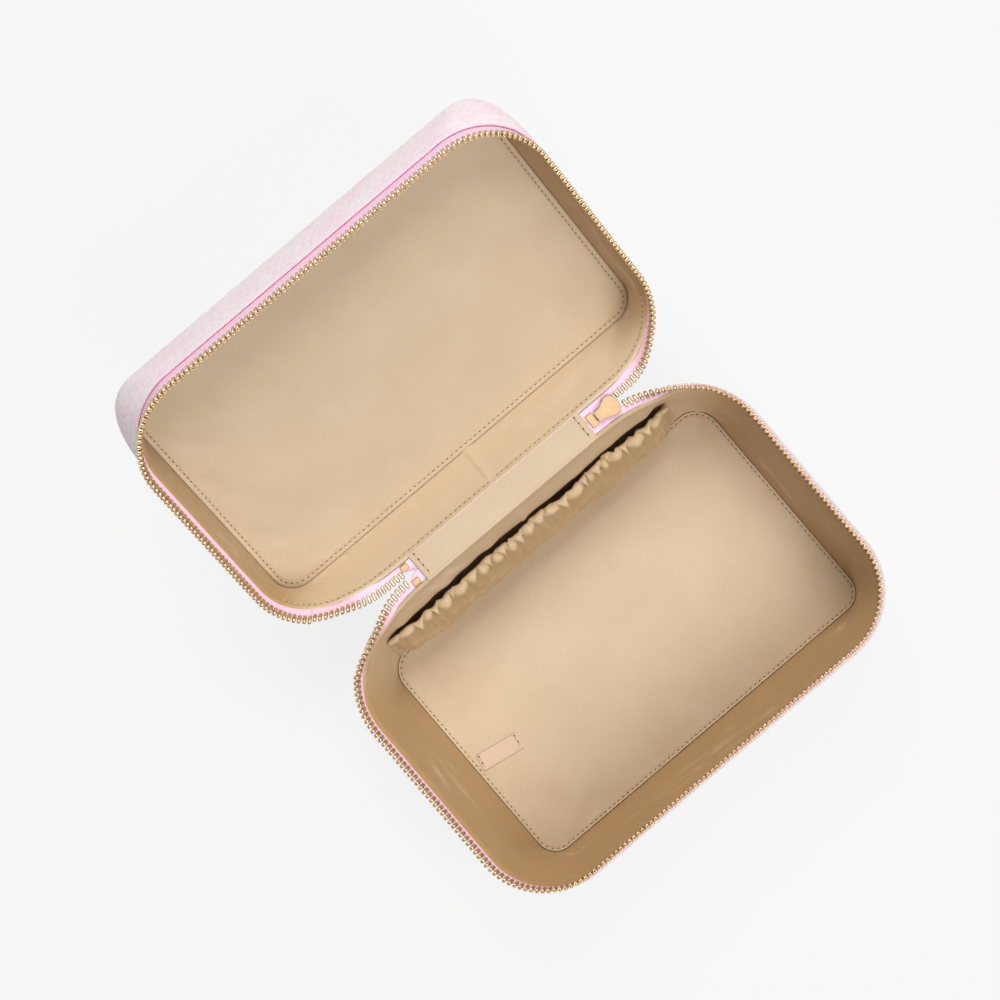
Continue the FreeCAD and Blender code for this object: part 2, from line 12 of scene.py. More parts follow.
import bmesh
import bpy
import numpy as np
from mathutils import Matrix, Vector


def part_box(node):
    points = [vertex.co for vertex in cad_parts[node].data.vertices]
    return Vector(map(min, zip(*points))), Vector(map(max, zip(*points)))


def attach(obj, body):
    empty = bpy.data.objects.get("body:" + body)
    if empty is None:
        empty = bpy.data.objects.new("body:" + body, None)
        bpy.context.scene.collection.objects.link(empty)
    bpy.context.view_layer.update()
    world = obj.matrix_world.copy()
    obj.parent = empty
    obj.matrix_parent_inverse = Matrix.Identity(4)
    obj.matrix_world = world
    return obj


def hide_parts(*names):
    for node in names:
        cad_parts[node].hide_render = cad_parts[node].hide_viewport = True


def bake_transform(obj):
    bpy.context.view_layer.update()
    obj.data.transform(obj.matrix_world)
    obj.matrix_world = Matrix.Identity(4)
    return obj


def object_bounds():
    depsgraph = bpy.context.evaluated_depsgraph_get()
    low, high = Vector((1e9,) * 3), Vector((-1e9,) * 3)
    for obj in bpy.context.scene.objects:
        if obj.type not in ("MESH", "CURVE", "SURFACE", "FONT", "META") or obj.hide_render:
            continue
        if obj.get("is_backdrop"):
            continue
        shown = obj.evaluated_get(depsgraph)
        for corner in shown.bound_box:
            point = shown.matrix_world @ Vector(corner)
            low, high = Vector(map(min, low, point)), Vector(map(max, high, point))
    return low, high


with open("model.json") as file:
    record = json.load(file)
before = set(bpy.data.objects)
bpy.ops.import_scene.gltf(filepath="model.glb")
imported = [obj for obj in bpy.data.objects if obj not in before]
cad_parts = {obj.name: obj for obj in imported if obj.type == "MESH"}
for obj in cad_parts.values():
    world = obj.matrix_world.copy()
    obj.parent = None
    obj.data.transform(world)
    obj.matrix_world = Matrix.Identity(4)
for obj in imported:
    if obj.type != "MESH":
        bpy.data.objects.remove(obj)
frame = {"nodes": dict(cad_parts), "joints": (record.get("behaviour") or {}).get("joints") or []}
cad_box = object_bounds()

scene = bpy.context.scene

# %% [markdown]
# ## Sizes, read from the frame
#
# The two fold lines of the hinge give the rim's depth and height, the width of the hinge strip and
# how far the lid lies open. The wall profiles repeat the maker's pattern: height from the rim and
# distance outside the rim line. Everything below is in millimetres, drawn with the case closed, and
# the lid's points are then turned open about the folds.

# %% Driving sizes
MM = 0.001
joints = {joint["name"]: joint for joint in frame["joints"]}
FOLD_BASE = np.array(joints["strip_fold"]["pos_m"]) / MM
FOLD_LID = np.array(joints["lid_fold"]["pos_m"]) / MM
OPEN_EACH = math.radians(joints["strip_fold"]["range_deg"][1])
BAND = float(np.linalg.norm(FOLD_LID - FOLD_BASE))
ACROSS = (FOLD_LID - FOLD_BASE) / BAND
ALONG = np.array([1.0, 0.0, 0.0])
BELOW = np.cross(ACROSS, ALONG)

EDGE = 2.8
LEATHER = 1.2
rim_low, rim_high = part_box("base_rim_edge")
RIM_W = (rim_high.x - rim_low.x) / MM - 2 * EDGE
RIM_D = 2 * FOLD_BASE[1]
RIM_Z = FOLD_BASE[2]
LID_RIM = np.array([0.0, RIM_D / 2, RIM_Z + BAND])
R_FRONT = 31.0
R_BACK = 36.0
R_PANEL = {"base": 30.0, "lid": 18.0}
PAD_GAP = -0.1
PAD_R_FRONT = 10.0
PAD_R_BACK = 12.0
STRIP_HALF = 49.0

BASE_WALL = [(-58.5, 0.4), (-45.0, 3.9), (-29.0, 5.6), (-14.0, 5.0), (0.0, EDGE)]
BASE_EDGE = [(-58.5, 0.4), (-60.6, -0.5), (-62.2, -2.2), (-63.0, -4.6)]
HINGE_FLAT = {"base": [(-58.5, 0.0), (-45.0, 3.4), (-29.0, 5.4), (-14.0, 4.7), (0.0, 0.0)]}
HINGE_FLAT["lid"] = [(0.0, 0.0)]
LID_WALL = [(-25.2, 0.4), (-18.0, 2.2), (-9.0, 3.1), (0.0, EDGE)]
LID_EDGE = [(-25.2, 0.4), (-27.3, -1.0), (-28.8, -2.8), (-29.6, -5.2)]
PAD = {"base": (-90.1, 96.4, -62.0, 54.8), "lid": (-101.5, 101.5, -64.7, 64.6)}
PAD_H = {"base": (-58.3, -53.9), "lid": (-27.0, -24.2)}
print("rim", round(RIM_W, 1), "x", round(RIM_D, 1), "band", round(BAND, 2))


# %% Places on the base, on the lid and on the hinge strip
def turned_open(points, about, to, angle):
    """Points of the closed case, turned back about a fold line that has itself moved."""
    arm = points - about
    c, s = math.cos(angle), math.sin(angle)
    y = arm[..., 1] * c + arm[..., 2] * s
    z = -arm[..., 1] * s + arm[..., 2] * c
    return np.stack([arm[..., 0], y, z], -1) + to


def stack(x, y, z):
    parts = [np.asarray(part, float) for part in (x, y, z)]
    return np.stack(np.broadcast_arrays(*parts), -1)


SAG = {"base": (3.3, 3.5), "lid": (2.0, 0.3)}
SAG_AT, SAG_WIDE = 80.0, 14.0


def sag(half, x):
    """How far the soft rim beside the hinge hangs away from the fold line, left and right."""
    left, right = SAG[half]
    return np.where(np.asarray(x) < 0, left, right) * np.exp(-((np.abs(x) - SAG_AT) / SAG_WIDE) ** 2)


def hung(half, x, y, h):
    """The same places, with the rim near the hinge's ends let down."""
    x, y, h = np.broadcast_arrays(np.asarray(x, float), np.asarray(y, float), np.asarray(h, float))
    near_hinge = np.clip((y - 15.0) / 45.0, 0.0, 1.0) ** 2
    near_rim = np.clip(1.0 + h / 22.0, 0.0, 1.0) ** 2
    return x, y - sag(half, x) * near_hinge * near_rim, h


def on_base(x, y, h):
    x, y, h = hung("base", x, y, h)
    return stack(x, y, RIM_Z + h)


def on_lid(x, y, h):
    x, y, h = hung("lid", x, y, h)
    return turned_open(stack(x, y, LID_RIM[2] - h), LID_RIM, FOLD_LID, 2 * OPEN_EACH)


def on_strip(x, w, n):
    """x along the hinge, w across the strip from the base's fold, n outward from its lining."""
    parts = [np.asarray(part, float)[..., None] for part in np.broadcast_arrays(x, w, n)]
    return FOLD_BASE + parts[0] * ALONG + parts[1] * ACROSS + parts[2] * BELOW


HALVES = {"base": on_base, "lid": on_lid}


def placed_on(half, points):
    """Points drawn on the closed base or lid, as (x, y, height from the rim), put in their place."""
    return HALVES[half](points[..., 0], points[..., 1], points[..., 2])


print("lid fold from its closed place:", on_lid(0.0, RIM_D / 2, 0.0).round(2))

# %% [markdown]
# ## Mesh helpers
#
# Most pieces are lofts: a ring of points, repeated at several heights. One helper makes the faces
# of such a grid, one makes the object. A flat map in millimetres goes along as a UV map, so that a
# weave follows the cloth as it was cut.


# %% Pieces from points
def grid_faces(rows, cols, wrap_rows=False, wrap_cols=False):
    r = np.arange(rows if wrap_rows else rows - 1)[:, None]
    c = np.arange(cols if wrap_cols else cols - 1)[None, :]
    r_next, c_next = (r + 1) % rows, (c + 1) % cols
    quad = [r * cols + c, r * cols + c_next, r_next * cols + c_next, r_next * cols + c]
    return np.stack([q + 0 * r + 0 * c for q in quad], -1).reshape(-1, 4)


def tube_faces(rows, cols):
    """Faces of a tube of rings, with a cap on its first and its last ring."""
    faces = grid_faces(rows, cols, False, True).tolist()
    faces.append(list(range(cols)))
    faces.append([(rows - 1) * cols + i for i in reversed(range(cols))])
    return faces


def grid_flat(u, v, rows, cols, wrap_rows=False, wrap_cols=False):
    """Flat coordinates of a grid's face corners; u and v have one value more where the grid closes."""
    r = np.arange(rows if wrap_rows else rows - 1)[:, None]
    c = np.arange(cols if wrap_cols else cols - 1)[None, :]
    corners = [(r, c), (r, c + 1), (r + 1, c + 1), (r + 1, c)]
    return np.stack([np.stack([u[b + 0 * a], v[a + 0 * b]], -1) for a, b in corners], -2).reshape(-1, 2)


def new_piece(name, points, faces, finishes, flat=None, marks=None, face_finish=None, closed=True):
    mesh = bpy.data.meshes.new(name)
    points = np.asarray(points, float).reshape(-1, 3) * MM
    mesh.from_pydata(points.tolist(), [], [list(map(int, face)) for face in faces])
    if flat is not None:
        layer = mesh.uv_layers.new(name="flat")
        room = np.zeros((len(mesh.loops), 2), np.float32)
        room[:len(flat)] = flat
        layer.uv.foreach_set("vector", room.ravel())
    for label, values in (marks or {}).items():
        attribute = mesh.attributes.new(label, "FLOAT", "POINT")
        attribute.data.foreach_set("value", np.asarray(values, np.float32).ravel())
    for finish in finishes:
        mesh.materials.append(finish)
    if face_finish is not None:
        mesh.polygons.foreach_set("material_index", np.asarray(face_finish, np.int32))
    mesh.polygons.foreach_set("use_smooth", np.ones(len(mesh.polygons), bool))
    if closed:
        shell = bmesh.new()
        shell.from_mesh(mesh)
        bmesh.ops.recalc_face_normals(shell, faces=shell.faces)
        shell.to_mesh(mesh)
        shell.free()
    mesh.update()
    piece = bpy.data.objects.new(name, mesh)
    scene.collection.objects.link(piece)
    return piece


def dress(piece, body, slot, *nodes):
    """The piece rides on a body and stands for the named nodes; slot is not used."""
    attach(piece, body)
    if nodes:
        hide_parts(*nodes)
    print(piece.name, len(piece.data.vertices), "points on", body)
    return piece


# %% Rounded rings
def ring_counts(step):
    """Points on the straight and round stretches of a rim, about one per step."""
    half_back = round((RIM_W / 2 - R_BACK) / step)
    side = round((RIM_D - R_BACK - R_FRONT) / step)
    front = round((RIM_W - 2 * R_FRONT) / step)
    corner_back = 2 * round(R_BACK * math.pi / 4 / step)
    corner_front = 2 * round(R_FRONT * math.pi / 4 / step)
    runs = [(half_back, corner_back), (side, corner_front), (front, corner_front), (side, corner_back)]
    return runs, half_back


def ring(box, r_front, r_back, counts):
    """Points and outward directions round a box with round corners, from the middle of the hinge."""
    x0, x1, y0, y1 = box
    runs, last_run = counts
    r_front, r_back = max(r_front, 0.05), max(r_back, 0.05)
    corners = [(x1 - r_back, y1 - r_back, r_back, 90.0), (x1 - r_front, y0 + r_front, r_front, 0.0)]
    corners += [(x0 + r_front, y0 + r_front, r_front, -90.0), (x0 + r_back, y1 - r_back, r_back, -180.0)]
    middle = np.array([0.0, y1])
    at, points, outs = middle, [], []
    for (cx, cy, r, start), (on_line, on_arc) in zip(corners, runs):
        turn = np.radians(start - 90.0 * np.arange(on_arc + 1) / on_arc)
        way = np.stack([np.cos(turn), np.sin(turn)], -1)
        arc = np.array([cx, cy]) + r * way
        points.append(at + (arc[0] - at) * (np.arange(on_line) / on_line)[:, None])
        outs.append(np.repeat(way[:1], on_line, 0))
        points.append(arc[:-1])
        outs.append(way[:-1])
        at = arc[-1]
    points.append(at + (middle - at) * (np.arange(last_run) / last_run)[:, None])
    outs.append(np.repeat(np.array([[0.0, 1.0]]), last_run, 0))
    return np.concatenate(points), np.concatenate(outs)


def grown(box, by):
    return (box[0] - by, box[1] + by, box[2] - by, box[3] + by)


RIM_BOX = (-RIM_W / 2, RIM_W / 2, -RIM_D / 2, RIM_D / 2)


def wall_ring(half, off, h, depth, counts):
    """Outline of the outer wall; its corners tighten from the rim down to the panel."""
    k = min(max(h / depth, 0.0), 1.0)
    r_front = R_FRONT + (R_PANEL[half] - R_FRONT) * k + off
    r_back = R_BACK + (R_PANEL[half] - R_BACK) * k + off
    x0, x1, y0, y1 = grown(RIM_BOX, off)
    levels, flats = zip(*HINGE_FLAT[half])
    return ring((x0, x1, y0, y1 - float(np.interp(h, levels, flats))), r_front, r_back, counts)


print("points round a rim at 1 mm:", len(ring(RIM_BOX, R_FRONT, R_BACK, ring_counts(1.0))[0]))


# %% Lines, directions and soft random waves
def along_length(points, closed=False):
    """Running length of a line of points; a closed line gets the full length as its last value."""
    ends = np.concatenate([points, points[:1]]) if closed else points
    return np.concatenate([[0.0], np.cumsum(np.linalg.norm(np.diff(ends, axis=0), axis=1))])


def at_length(values, reach, s):
    """Values along a line, read off at other running lengths."""
    return np.stack([np.interp(s, reach, values[:, k]) for k in range(values.shape[1])], -1)


def unit(ways):
    """Directions of length one."""
    return ways / np.linalg.norm(ways, axis=-1, keepdims=True)


def smooth_line(marks, step):
    """Catmull-Rom line through marks, sampled about every step."""
    marks = np.asarray(marks, float)
    padded = np.concatenate([2 * marks[:1] - marks[1:2], marks, 2 * marks[-1:] - marks[-2:-1]])
    line = []
    for p0, p1, p2, p3 in zip(padded, padded[1:], padded[2:], padded[3:]):
        count = max(round(float(np.linalg.norm(p2 - p1)) / step), 1)
        t = (np.arange(count) / count)[:, None]
        bend = 2 * p0 - 5 * p1 + 4 * p2 - p3
        line.append(0.5 * (2 * p1 + (p2 - p0) * t + bend * t ** 2 + (3 * p1 - p0 - 3 * p2 + p3) * t ** 3))
    return np.concatenate(line + [marks[-1:]])


def ease(t):
    t = np.clip(t, 0.0, 1.0)
    return t * t * (3 - 2 * t)


NOISE_ROWS, NOISE_COLS = 89, 97


def soft_noise(u, v, cell_u, cell_v, seed, turn=None):
    """Smooth random waves, from -1 to 1, about one per cell; with turn, u closes after that length."""
    cols = max(round(turn / cell_u), 1) if turn else NOISE_COLS
    wide = turn / cols if turn else cell_u
    table = np.random.default_rng(seed).uniform(-1, 1, (NOISE_ROWS, cols))
    gu, gv = np.broadcast_arrays(np.asarray(u, float) / wide, np.asarray(v, float) / cell_v)
    iu, iv = np.floor(gu).astype(int), np.floor(gv).astype(int)
    fu, fv = ease(gu - iu), ease(gv - iv)
    row, next_row = iv % NOISE_ROWS, (iv + 1) % NOISE_ROWS
    col, next_col = iu % cols, (iu + 1) % cols
    near = table[row, col] * (1 - fu) + table[row, next_col] * fu
    far = table[next_row, col] * (1 - fu) + table[next_row, next_col] * fu
    return near * (1 - fv) + far * fv


print("random waves on a table of", NOISE_ROWS, "by", NOISE_COLS)

# %% [markdown]
# ## Camera
#
# The picture was taken from almost straight above through a long lens, with the case lying
# slantwise. The camera's place and turn are written as a position, a view direction and the way
# that is up in the picture.

# %% Camera
CAMERA_AT = np.array([1.9, 72.6, 1829.0]) * MM
VIEW_WAY = np.array([-0.0022, 0.0034, -1.0])
PICTURE_UP = np.array([0.647, 0.762, 0.0])
LENS = 144.0


def aimed(back, upward, place):
    """Pose of a camera or lamp from the way behind it, a way that is up for it, and its place."""
    back = unit(back)
    right = unit(np.cross(upward, back))
    pose = np.eye(4)
    pose[:3] = np.stack([right, np.cross(back, right), back, place], 1)
    return Matrix(pose.tolist())


camera_data = bpy.data.cameras.new("camera")
camera_data.lens = LENS
camera_data.sensor_width = 36.0
camera_data.clip_start = 0.05
camera = bpy.data.objects.new("camera", camera_data)
camera.matrix_world = aimed(-VIEW_WAY, PICTURE_UP, CAMERA_AT)
scene.collection.objects.link(camera)
scene.camera = camera
print("camera at", CAMERA_AT.round(3))

# %% [markdown]
# ## Light and floor
#
# A soft studio: one large lamp towards the top of the picture, a slightly weaker one opposite, and
# an even pale world. The floor is plain and pale. Seen directly it is lifted towards white, and it still
# takes the soft shadow of the case.

# %% World light
scene.view_settings.view_transform = "Standard"
WORLD_LIGHT = 0.20
KEY_WATTS = 26.8
FILL_WATTS = 23.0
BACKDROP = 0.93
FLOOR_LIFT = 0.9


def shown_rays(tree):
    """1 for rays that the camera, a reflection or a see-through surface sends, otherwise 0."""
    path = tree.nodes.new("ShaderNodeLightPath")
    total = path.outputs["Is Camera Ray"]
    for ray in ("Is Glossy Ray", "Is Transmission Ray"):
        most = tree.nodes.new("ShaderNodeMath")
        most.operation = "MAXIMUM"
        tree.links.new(total, most.inputs[0])
        tree.links.new(path.outputs[ray], most.inputs[1])
        total = most.outputs[0]
    return total


world = bpy.data.worlds.new("studio")
scene.world = world
world.use_nodes = True
sky = world.node_tree
sky.nodes["Background"].inputs["Color"].default_value = (1.0, 0.995, 0.985, 1.0)
sky.nodes["Background"].inputs["Strength"].default_value = WORLD_LIGHT
paper = sky.nodes.new("ShaderNodeBackground")
paper.inputs["Color"].default_value = (BACKDROP, BACKDROP, BACKDROP, 1.0)
either = sky.nodes.new("ShaderNodeMixShader")
sky.links.new(shown_rays(sky), either.inputs["Fac"])
sky.links.new(sky.nodes["Background"].outputs[0], either.inputs[1])
sky.links.new(paper.outputs[0], either.inputs[2])
sky.links.new(either.outputs[0], sky.nodes["World Output"].inputs["Surface"])


print("world light", WORLD_LIGHT, "backdrop", BACKDROP)


# %% Lamps
def soft_lamp(name, place, aim, size, watts):
    lamp = bpy.data.lights.new(name, "AREA")
    lamp.shape = "DISK"
    lamp.size = size
    lamp.energy = watts
    holder = bpy.data.objects.new(name, lamp)
    holder.matrix_world = aimed(np.subtract(place, aim), (0.3, 1.0, 0.0), place)
    scene.collection.objects.link(holder)
    return holder


CASE_MIDDLE = (0.0, 0.07, 0.05)
soft_lamp("key_lamp", (0.58, 0.92, 1.65), CASE_MIDDLE, 1.2, KEY_WATTS)
soft_lamp("fill_lamp", (0.1, -1.06, 1.56), CASE_MIDDLE, 1.4, FILL_WATTS)
print("two lamps of", KEY_WATTS, "and", FILL_WATTS, "watts")

# %% Floor
FLOOR_HALF = 3.0
floor_mesh = bpy.data.meshes.new("floor")
floor_rim = [(-FLOOR_HALF, -FLOOR_HALF, 0), (FLOOR_HALF, -FLOOR_HALF, 0)]
floor_rim += [(FLOOR_HALF, FLOOR_HALF, 0), (-FLOOR_HALF, FLOOR_HALF, 0)]
floor_mesh.from_pydata(floor_rim, [], [(0, 1, 2, 3)])
floor = bpy.data.objects.new("floor", floor_mesh)
floor.location.z = -0.0004
scene.collection.objects.link(floor)
paint = bpy.data.materials.new("pale_floor")
paint.use_nodes = True
tree = paint.node_tree
matt = tree.nodes["Principled BSDF"]
matt.inputs["Base Color"].default_value = (0.86, 0.86, 0.86, 1.0)
matt.inputs["Roughness"].default_value = 0.9
matt.inputs["Specular IOR Level"].default_value = 0.1
glow = tree.nodes.new("ShaderNodeEmission")
glow.inputs["Color"].default_value = (BACKDROP, BACKDROP, BACKDROP, 1.0)
lift = tree.nodes.new("ShaderNodeMath")
lift.operation = "MULTIPLY"
lift.inputs[1].default_value = FLOOR_LIFT
tree.links.new(shown_rays(tree), lift.inputs[0])
blend_in = tree.nodes.new("ShaderNodeMixShader")
tree.links.new(lift.outputs[0], blend_in.inputs["Fac"])
tree.links.new(matt.outputs[0], blend_in.inputs[1])
tree.links.new(glow.outputs[0], blend_in.inputs[2])
tree.links.new(blend_in.outputs[0], tree.nodes["Material Output"].inputs["Surface"])
floor_mesh.materials.append(paint)
floor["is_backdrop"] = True
print("floor", 2 * FLOOR_HALF, "m across")

# %% [markdown]
# ## Finishes
#
# Every finish is a small node tree on one Principled shader. A helper keeps the trees short: it
# adds a node, sets its inputs and links whatever is a socket. Colours are written as the eye sees
# them (0 to 255) and turned into light values.


# %% Node helper
def tone(r, g, b):
    values = [c / 255.0 for c in (r, g, b)]
    linear = [c / 12.92 if c <= 0.04045 else ((c + 0.055) / 1.055) ** 2.4 for c in values]
    return (*linear, 1.0)


class Finish:
    def __init__(self, name, **constants):
        self.material = bpy.data.materials.new(name)
        self.material.use_nodes = True
        self.tree = self.material.node_tree
        self.shader = self.tree.nodes["Principled BSDF"]
        for socket, value in constants.items():
            self.shader.inputs[socket.replace("_", " ")].default_value = value

    def node(self, kind, inputs=None, **settings):
        made = self.tree.nodes.new("ShaderNode" + kind)
        for key, value in settings.items():
            setattr(made, key, value)
        for key, value in (inputs or {}).items():
            if isinstance(value, bpy.types.NodeSocket):
                self.tree.links.new(value, made.inputs[key])
            else:
                made.inputs[key].default_value = value
        return made

    def math(self, operation, a, b=0.0):
        return self.node("Math", {0: a, 1: b}, operation=operation).outputs[0]

    def flat(self):
        """The cloth's own flat coordinates, in millimetres."""
        return self.node("UVMap", uv_map="flat").outputs[0]

    def place(self):
        """The place on the case, in metres."""
        return self.node("TexCoord").outputs["Object"]

    def noise(self, vector, scale, detail=3.0, rough=0.55):
        inputs = {"Vector": vector, "Scale": scale, "Detail": detail, "Roughness": rough}
        return self.node("TexNoise", inputs).outputs["Fac"]

    def ramp(self, value, low, high, to_low=0.0, to_high=1.0):
        inputs = {"Value": value, "From Min": low, "From Max": high, "To Min": to_low, "To Max": to_high}
        return self.node("MapRange", inputs).outputs[0]

    def pores(self, vector, scale):
        """Fine creases between the pores of leather."""
        cells = self.node("TexVoronoi", {"Vector": vector, "Scale": scale}, feature="DISTANCE_TO_EDGE")
        return self.ramp(cells.outputs[0], 0.0, 0.12)

    def colours(self, amount, first, second):
        mix = self.node("Mix", data_type="RGBA")
        self.tree.links.new(amount, mix.inputs[0])
        for socket, colour in ((6, first), (7, second)):
            if isinstance(colour, bpy.types.NodeSocket):
                self.tree.links.new(colour, mix.inputs[socket])
            else:
                mix.inputs[socket].default_value = colour
        return mix.outputs[2]

    def threads(self, vector, turn, period):
        """Fine parallel threads: bands across the flat map, one per period in millimetres."""
        spun = self.node("Mapping", {"Vector": vector, "Rotation": (0.0, 0.0, turn)}).outputs[0]
        inputs = {"Vector": spun, "Scale": math.pi / (10.0 * period)}
        return self.node("TexWave", inputs, wave_type="BANDS").outputs["Fac"]

    def bump(self, height, distance, strength=1.0, over=None):
        inputs = {"Height": height, "Distance": distance, "Strength": strength}
        if over is not None:
            inputs["Normal"] = over
        return self.node("Bump", inputs).outputs[0]

    def wear(self, colour=None, roughness=None, normal=None):
        for socket, value in (("Base Color", colour), ("Roughness", roughness), ("Normal", normal)):
            if value is not None:
                self.tree.links.new(value, self.shader.inputs[socket])
        return self.material


print("finish helper ready")


# %% Lining cloth and padded cloth
TWILL_TURN = 0.6


def woven_finish(name, light, dark, sheen, gloss):
    """Fine satin twill: close slanted threads, uneven dye, a soft sheen; painted lighter where a piece is
    marked for painted light.
    """
    cloth = Finish(name, Sheen_Weight=sheen, Sheen_Roughness=0.45, Specular_IOR_Level=gloss)
    flat = cloth.flat()
    warp = cloth.threads(flat, TWILL_TURN, 0.55)
    weft = cloth.threads(flat, TWILL_TURN + math.pi / 2, 0.8)
    weave = cloth.math("MULTIPLY", warp, weft)
    cloudy = cloth.noise(flat, 0.035, 2.0)
    fine = cloth.noise(flat, 1.1, 3.0, 0.7)
    uneven, mottled = cloth.ramp(cloudy, 0.3, 0.7, 0.0, 0.3), cloth.ramp(fine, 0.3, 0.7, 0.0, 0.55)
    shade = cloth.math("ADD", uneven, mottled)
    shade = cloth.math("ADD", shade, cloth.math("MULTIPLY", weave, 0.15))
    colour = cloth.colours(shade, dark, light)
    # Painted light: the mark mixes in a lighter tan, for lit faces and for highlights along wrinkle
    # ridges.
    painted_light = cloth.node("Attribute", attribute_name="painted_light").outputs["Fac"]
    colour = cloth.colours(painted_light, colour, tone(212, 189, 158))
    rough = cloth.ramp(fine, 0.2, 0.8, 0.46, 0.62)
    normal = cloth.bump(fine, 0.00018, 0.55, cloth.bump(weave, 0.00005, 0.6))
    return cloth.wear(colour, rough, normal)


# One satin in two copies: the wall lining's copy is painted darker, a painted shade, and the padded
# panels' copy is painted lighter, a painted light.
SHADED_LINING = woven_finish("lining_satin_painted_shade", tone(190, 155, 106), tone(170, 135, 88), 0.12, 0.25)
LIT_PADDED = woven_finish("padded_satin_painted_light", tone(210, 189, 159), tone(191, 167, 135), 0.2, 0.5)
print("cloth finishes:", SHADED_LINING.name, LIT_PADDED.name)


# %% Embossed leather and smooth leather
def embossed_finish():
    """Pale scales over a pinker ground; the dye wears thin on the scale tops."""
    hide = Finish("embossed_hide", Specular_IOR_Level=0.45, Coat_Weight=0.12, Coat_Roughness=0.3)
    place = hide.place()
    relief = hide.node("Attribute", attribute_name="relief").outputs["Fac"]
    cloudy = hide.noise(place, 70.0, 4.0)
    grain = hide.noise(place, 1500.0, 3.0)
    tops = hide.colours(hide.ramp(cloudy, 0.35, 0.65), tone(245, 221, 230), tone(241, 235, 234))
    ground = hide.colours(hide.ramp(cloudy, 0.4, 0.7), tone(243, 213, 224), tone(240, 226, 229))
    colour = hide.colours(hide.ramp(relief, 0.05, 0.75), ground, tops)
    rough = hide.ramp(grain, 0.2, 0.8, 0.34, 0.5)
    creases = hide.bump(hide.pores(place, 1100.0), 0.00009, 0.55)
    normal = hide.bump(grain, 0.0001, 0.4, creases)
    return hide.wear(colour, rough, normal)


def smooth_finish(name, light, dark):
    hide = Finish(name, Specular_IOR_Level=0.45, Coat_Weight=0.08, Coat_Roughness=0.35)
    place = hide.place()
    cloudy = hide.noise(place, 55.0, 4.0)
    grain = hide.noise(place, 1300.0, 3.0)
    colour = hide.colours(hide.ramp(cloudy, 0.3, 0.7), dark, light)
    rough = hide.ramp(grain, 0.2, 0.8, 0.38, 0.55)
    normal = hide.bump(hide.pores(place, 900.0), 0.00008, 0.5, hide.bump(grain, 0.0001, 0.3))
    return hide.wear(colour, rough, normal)


EMBOSSED = embossed_finish()
STRAP_HIDE = smooth_finish("strap_hide", tone(247, 216, 226), tone(240, 200, 214))
print("leather finishes:", EMBOSSED.name, STRAP_HIDE.name)


# %% Tape, thread, edge paint and ribbon
def tape_finish():
    """Woven tape: slanted ribs both ways make a herringbone."""
    tape = Finish("zip_tape_weave", Sheen_Weight=0.3, Sheen_Roughness=0.4, Specular_IOR_Level=0.3)
    flat = tape.flat()
    one = tape.threads(flat, 0.75, 0.8)
    other = tape.threads(flat, -0.75, 0.8)
    fine = tape.noise(flat, 2.2, 2.0)
    rib = tape.math("ADD", tape.math("MULTIPLY", one, 0.6), tape.math("MULTIPLY", other, 0.4))
    shade = tape.math("ADD", tape.math("MULTIPLY", rib, 0.7), tape.ramp(fine, 0.3, 0.7, 0.0, 0.3))
    colour = tape.colours(shade, tone(248, 200, 222), tone(253, 217, 234))
    rough = tape.ramp(fine, 0.2, 0.8, 0.6, 0.8)
    return tape.wear(colour, rough, tape.bump(rib, 0.00008, 0.6))


def thread_finish(name, light, dark):
    thread = Finish(name, Sheen_Weight=0.3, Specular_IOR_Level=0.4)
    twist = thread.node("TexWave", {"Vector": thread.place(), "Scale": 900.0}, bands_direction="DIAGONAL")
    fuzz = thread.noise(thread.place(), 2500.0, 2.0)
    amount = thread.math("MULTIPLY", twist.outputs["Fac"], thread.ramp(fuzz, 0.2, 0.8, 0.5, 1.0))
    colour = thread.colours(amount, dark, light)
    rough = thread.ramp(fuzz, 0.2, 0.8, 0.45, 0.65)
    return thread.wear(colour, rough, thread.bump(twist.outputs["Fac"], 0.00006, 0.6))


def painted_finish(name, light, dark, low, high):
    paint = Finish(name, Specular_IOR_Level=0.5)
    cloudy = paint.noise(paint.place(), 240.0, 4.0)
    colour = paint.colours(paint.ramp(cloudy, 0.3, 0.7), dark, light)
    rough = paint.ramp(cloudy, 0.2, 0.8, low, high)
    return paint.wear(colour, rough, paint.bump(cloudy, 0.00012, 0.4))


def ribbon_finish():
    ribbon = Finish("label_satin_weave", Sheen_Weight=0.4, Specular_IOR_Level=0.5, Anisotropic=0.4)
    flat = ribbon.flat()
    rib = ribbon.threads(flat, math.pi / 2, 0.45)
    fine = ribbon.noise(flat, 1.8, 2.0)
    shade = ribbon.math("ADD", ribbon.math("MULTIPLY", rib, 0.4), ribbon.ramp(fine, 0.3, 0.7, 0.0, 0.6))
    colour = ribbon.colours(shade, tone(199, 171, 144), tone(219, 192, 165))
    return ribbon.wear(colour, ribbon.ramp(fine, 0.2, 0.8, 0.32, 0.5), ribbon.bump(rib, 0.00006, 0.5))


TAPE_CLOTH = tape_finish()
THREAD = thread_finish("tan_thread", tone(226, 202, 168), tone(196, 164, 122))
PINK_THREAD = thread_finish("pink_thread", tone(244, 200, 220), tone(226, 170, 196))
# The needle holes' dark brown is painted shade: the shadow inside a hole.
NEEDLE_HOLE_SHADE = painted_finish("needle_hole_painted_shade", tone(112, 84, 50), tone(78, 56, 30), 0.8, 0.95)
EDGE_PAINT = painted_finish("edge_paint_pink", tone(251, 210, 230), tone(247, 199, 222), 0.35, 0.5)
RIBBON = ribbon_finish()
print("tape, thread, paint and ribbon finishes")


